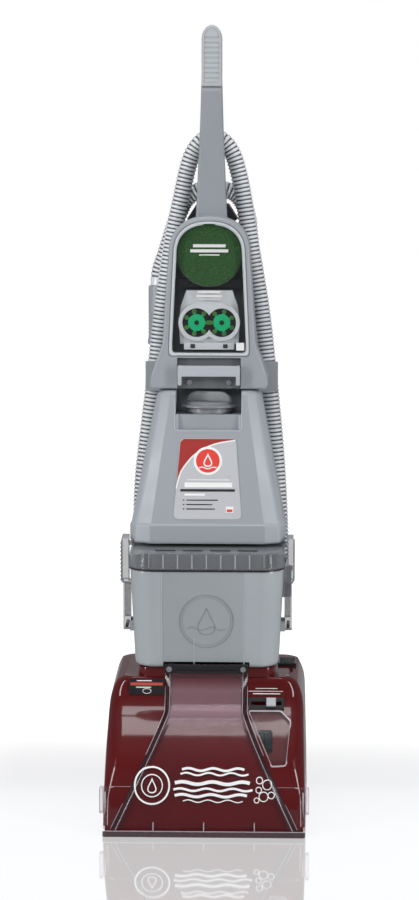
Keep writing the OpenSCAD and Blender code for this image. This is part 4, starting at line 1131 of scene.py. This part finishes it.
def make_hand_brush(name, side):
    """A wheel with seven round seats, each full of tufts that lean a little."""
    cx, cz = side * BRUSH_X, BRUSH_H
    start = math.pi / 7 if side < 0 else 0.0
    angles = [start + math.pi + 2 * math.pi * k / 7 for k in range(7)]
    hub = lathe([(3, -104.5), (4.2, -105), (11.5, -104.8), (12.5, -104.2), (12.5, -101.6), (3, -101.6)], 48)
    hub.transform(Matrix(((1, 0, 0, cx), (0, 0, 1, 0), (0, 1, 0, cz), (0, 0, 0, 1))))
    c = Vector((cx, 0, cz))
    arms = []
    for a in angles:
        u, v = Vector((math.cos(a), 0, math.sin(a))), Vector((-math.sin(a), 0, math.cos(a)))
        corners = [c + u * out + v * side_on for out, side_on in rect(10, -1.8, 15.5, 1.8)]
        arms.append(loft([[(p.x, w, p.z) for p in corners] for w in (-104.2, -102)]))
        seat = c + u * 16.8
        arms.append(rod((seat.x, -103.6, seat.z), (seat.x, -101.8, seat.z), 3.3, 20))
    shaft = rod((cx, -101.8, cz), (cx, -84, cz), 2.9, 20)
    centre = rod((cx, -105.3, cz), (cx, -104.6, cz), 3.6, 24)
    piece(name + "_centre", centre, name, BLACK, name)
    piece(name + "_wheel", [hub, shaft, *arms], name, GREEN, name, [name])
    tufts = []
    fine = random.Random(7 + side)
    for a in angles:
        for j in range(26):
            r = 2.9 * math.sqrt((j + 0.5) / 26)
            b = GOLDEN_ANGLE * j
            x = cx + 16.8 * math.cos(a) + r * math.cos(b)
            z = cz + 16.8 * math.sin(a) + r * math.sin(b)
            lean = [fine.uniform(-0.25, 0.25) for _ in range(2)]
            tip = (x + lean[0], -106.6 - fine.uniform(0, 0.6), z + lean[1])
            tufts.append(rod((x, -103.4, z), tip, 0.36, 5))
    piece(name + "_tufts", tufts, name, TUFT, name)


def handle_outline(inset, low=744, high=1042):
    """The handle's long taper seen from the front, round at its tip where high takes it past the taper."""
    half = smooth_line([(24, 744), (22.7, 767), (20.2, 827), (17.5, 886), (15.7, 945), (15.2, 962),
                        (15.2, 1020)])
    side = [(half(h) - inset, h) for h in (mix_up(low, min(high, 1018), k / 24) for k in range(25))]
    tip = [((15.2 - inset) * math.cos(a), 1020 + (22 - inset) * math.sin(a))
           for a in (math.pi * k / 20 for k in range(21))] if high > 1018 else []
    return side + tip + [(-x, h) for x, h in reversed(side)]


def sheared(mesh, w_front, h_low, h_high, amount):
    """The mesh with its front half pushed back, more and more towards h_high."""
    for v in mesh.vertices:
        if v.co.y < w_front / 2:
            v.co.y += amount * min(max((v.co.z - h_low) / (h_high - h_low), 0), 1)
    return mesh


def make_handle():
    low = ARCH_TOP - 5.6
    shaft = plate([handle_outline(0, low, 950)], -16, -0.1, 4.4, half=True)
    shaft = carve(sheared(shaft, -16, low, 940, 2.0), box((-7, -9, 730), (7, 1, 946)))
    piece("handle_shaft_bevelled", shaft, "handle", GREY, "grey_plastic", ["handle_shaft"], 25)
    # painted shade: the flat front gets a darker grey than the bevels round it
    face = sheared(plate([handle_outline(3.8, low + 4, 944)], -16.3, -12, 0.25), -16, low, 940, 2.0)
    piece("handle_shaft_face", face, "handle", SHADED_SHAFT_GREY, "grey_plastic", sharp=25)
    grip = plate([handle_outline(0, 950.4, 1042)], -15, -0.1, 3.2, half=True)
    grooves = [block_plan(0, -15, 21, 3.4, 1.2, [(h, 0.4), (h + 0.6, 0), (h + 2, 0), (h + 2.6, 0.4)])
               for h in (962 + 7.5 * i for i in range(9))]
    grip = carve(grip, *grooves)
    piece("grip_ribbed", grip, "handle", LIGHT_GREY, "grip", ["grip"], 30)
    path = handle_outline(4.2, 957, 1042)
    outline = strip(path, 0.9, lambda x, h, lift: (x, -15 - lift, h), 0.25, closed=True)
    piece("grip_outline", outline, "handle", GREY, "grip")


# ---------- wheels and carried-over parts ----------
def make_wheels():
    def across(side, x0, x1, radius, steps):
        return rod((side * x0, *WHEEL), (side * x1, *WHEEL), radius, steps)
    for name, side in (("wheel_left", -1), ("wheel_right", 1)):
        tyre = [(46, 2), (56, 0.6), (61, 0.6), (64, 2.4)]
        for k in range(4):
            x = 5.5 + 4.25 * k
            tyre += [(65, x - 1.6), (65, x + 0.6), (63.6, x + 1.0), (63.6, x + 1.8)]
        tyre += [(65, 20.9), (65, 23.3), (64, 25.6), (61, 27.4), (56, 27.4), (46, 26)]
        rings = [[(side * (112 + x), *p) for p in circle(*WHEEL, r, 96)] for r, x in tyre]
        piece(name + "_tyre", loft(rings, looped=True), name, TYRE, name, [name], 50)
        hub, dish = across(side, 114, 138.6, 47, 96), across(side, 133, 141, 41, 64)
        boss, bore = across(side, 120, 139, 12, 48), across(side, 100, 150, 6.4, 32)
        spokes = []
        for k in range(6):
            a = math.pi * k / 3
            u, v = Vector((0, math.cos(a), math.sin(a))), Vector((0, -math.sin(a), math.cos(a)))
            c = Vector((0, *WHEEL))
            quad = [c + u * 8 - v * 3, c + u * 44 - v * 2.2, c + u * 44 + v * 2.2, c + u * 8 + v * 3]
            spokes.append(loft([[(side * x, p.y, p.z) for p in quad] for x in (132, 138)]))
        wheel = carve(carve(hub, dish), boss, *spokes, operation="UNION")
        piece(name + "_hub", carve(wheel, bore), name, CHARCOAL, name, sharp=30)


# CAD nodes kept in shape: with their edges rounded by so much, and as they are
SOFTENED = {
    "nozzle_seal_bar": (BLACK, 0.7), "corner_guards": (GUARD_CLEAR, 0.8), "slider_plate": (BLACK, 0.3),
    "selector_label": (BLACK, 0.2), "power_pedal": (BLACK, 0.6), "release_pedal": (BLACK, 0.6),
    "lid_latch_left": (LATCH_CLEAR, 0.8), "lid_latch_right": (LATCH_CLEAR, 0.8),
    "column_front": (GREY, 1.5), "column_rear": (GREY, 1.5), "hose_port": (DARK_GREY, 0.8),
    "hose_bracket": (GREY, 0.8), "hose_rack": (BLACK, 1.0), "handle_back": (GREY, 2.0),
    "trigger": (BLACK, 0.6), "tank_latch": (LIGHT_GREY, 1.4), "latch_plate": (DARK_GREY, 0.4),
    "cord_hook": (BLACK, 0.8), "motor_housing": (CHARCOAL, 1.0), "chassis": (CHARCOAL, 0.6),
}
KEPT = {
    "nozzle_screws": STEEL, "turbine_window": WINDOW_CLEAR, "turbine_rotor": TEAL, "brush_carrier": BLACK,
    "rear_axle": STEEL, "front_wheels": BLACK, "pivot_pins": STEEL, "motor_rotor": STEEL,
    "latch_pins": CHARCOAL, "lid_gasket": BLACK, "standpipe": CLEAR, "float": WHITE_TAB, "trigger_rod": STEEL,
    "brush_1": BRISTLE, "brush_2": BRISTLE, "brush_3": BRISTLE, "brush_4": BRISTLE, "brush_5": BRISTLE,
}


def finish_cad_nodes():
    for name, (material, edge) in SOFTENED.items():
        softened(name, material, edge)
    for name, material in KEPT.items():
        mesh = frame["nodes"][name].data
        mesh.materials.clear()
        mesh.materials.append(material)
        for polygon in mesh.polygons:
            polygon.use_smooth = True
        mesh.set_sharp_from_angle(angle=math.radians(35))


make_camera()
make_hose()
make_studio()
make_floor()
make_hood()
make_nozzle()
make_nozzle_print()
make_controls()
make_recovery_tank()
make_lid()
make_solution_tank()
make_cap()
make_label()
make_caddy()
make_scrub_pad()
make_hand_tool()
make_handle()
make_wheels()
finish_cad_nodes()
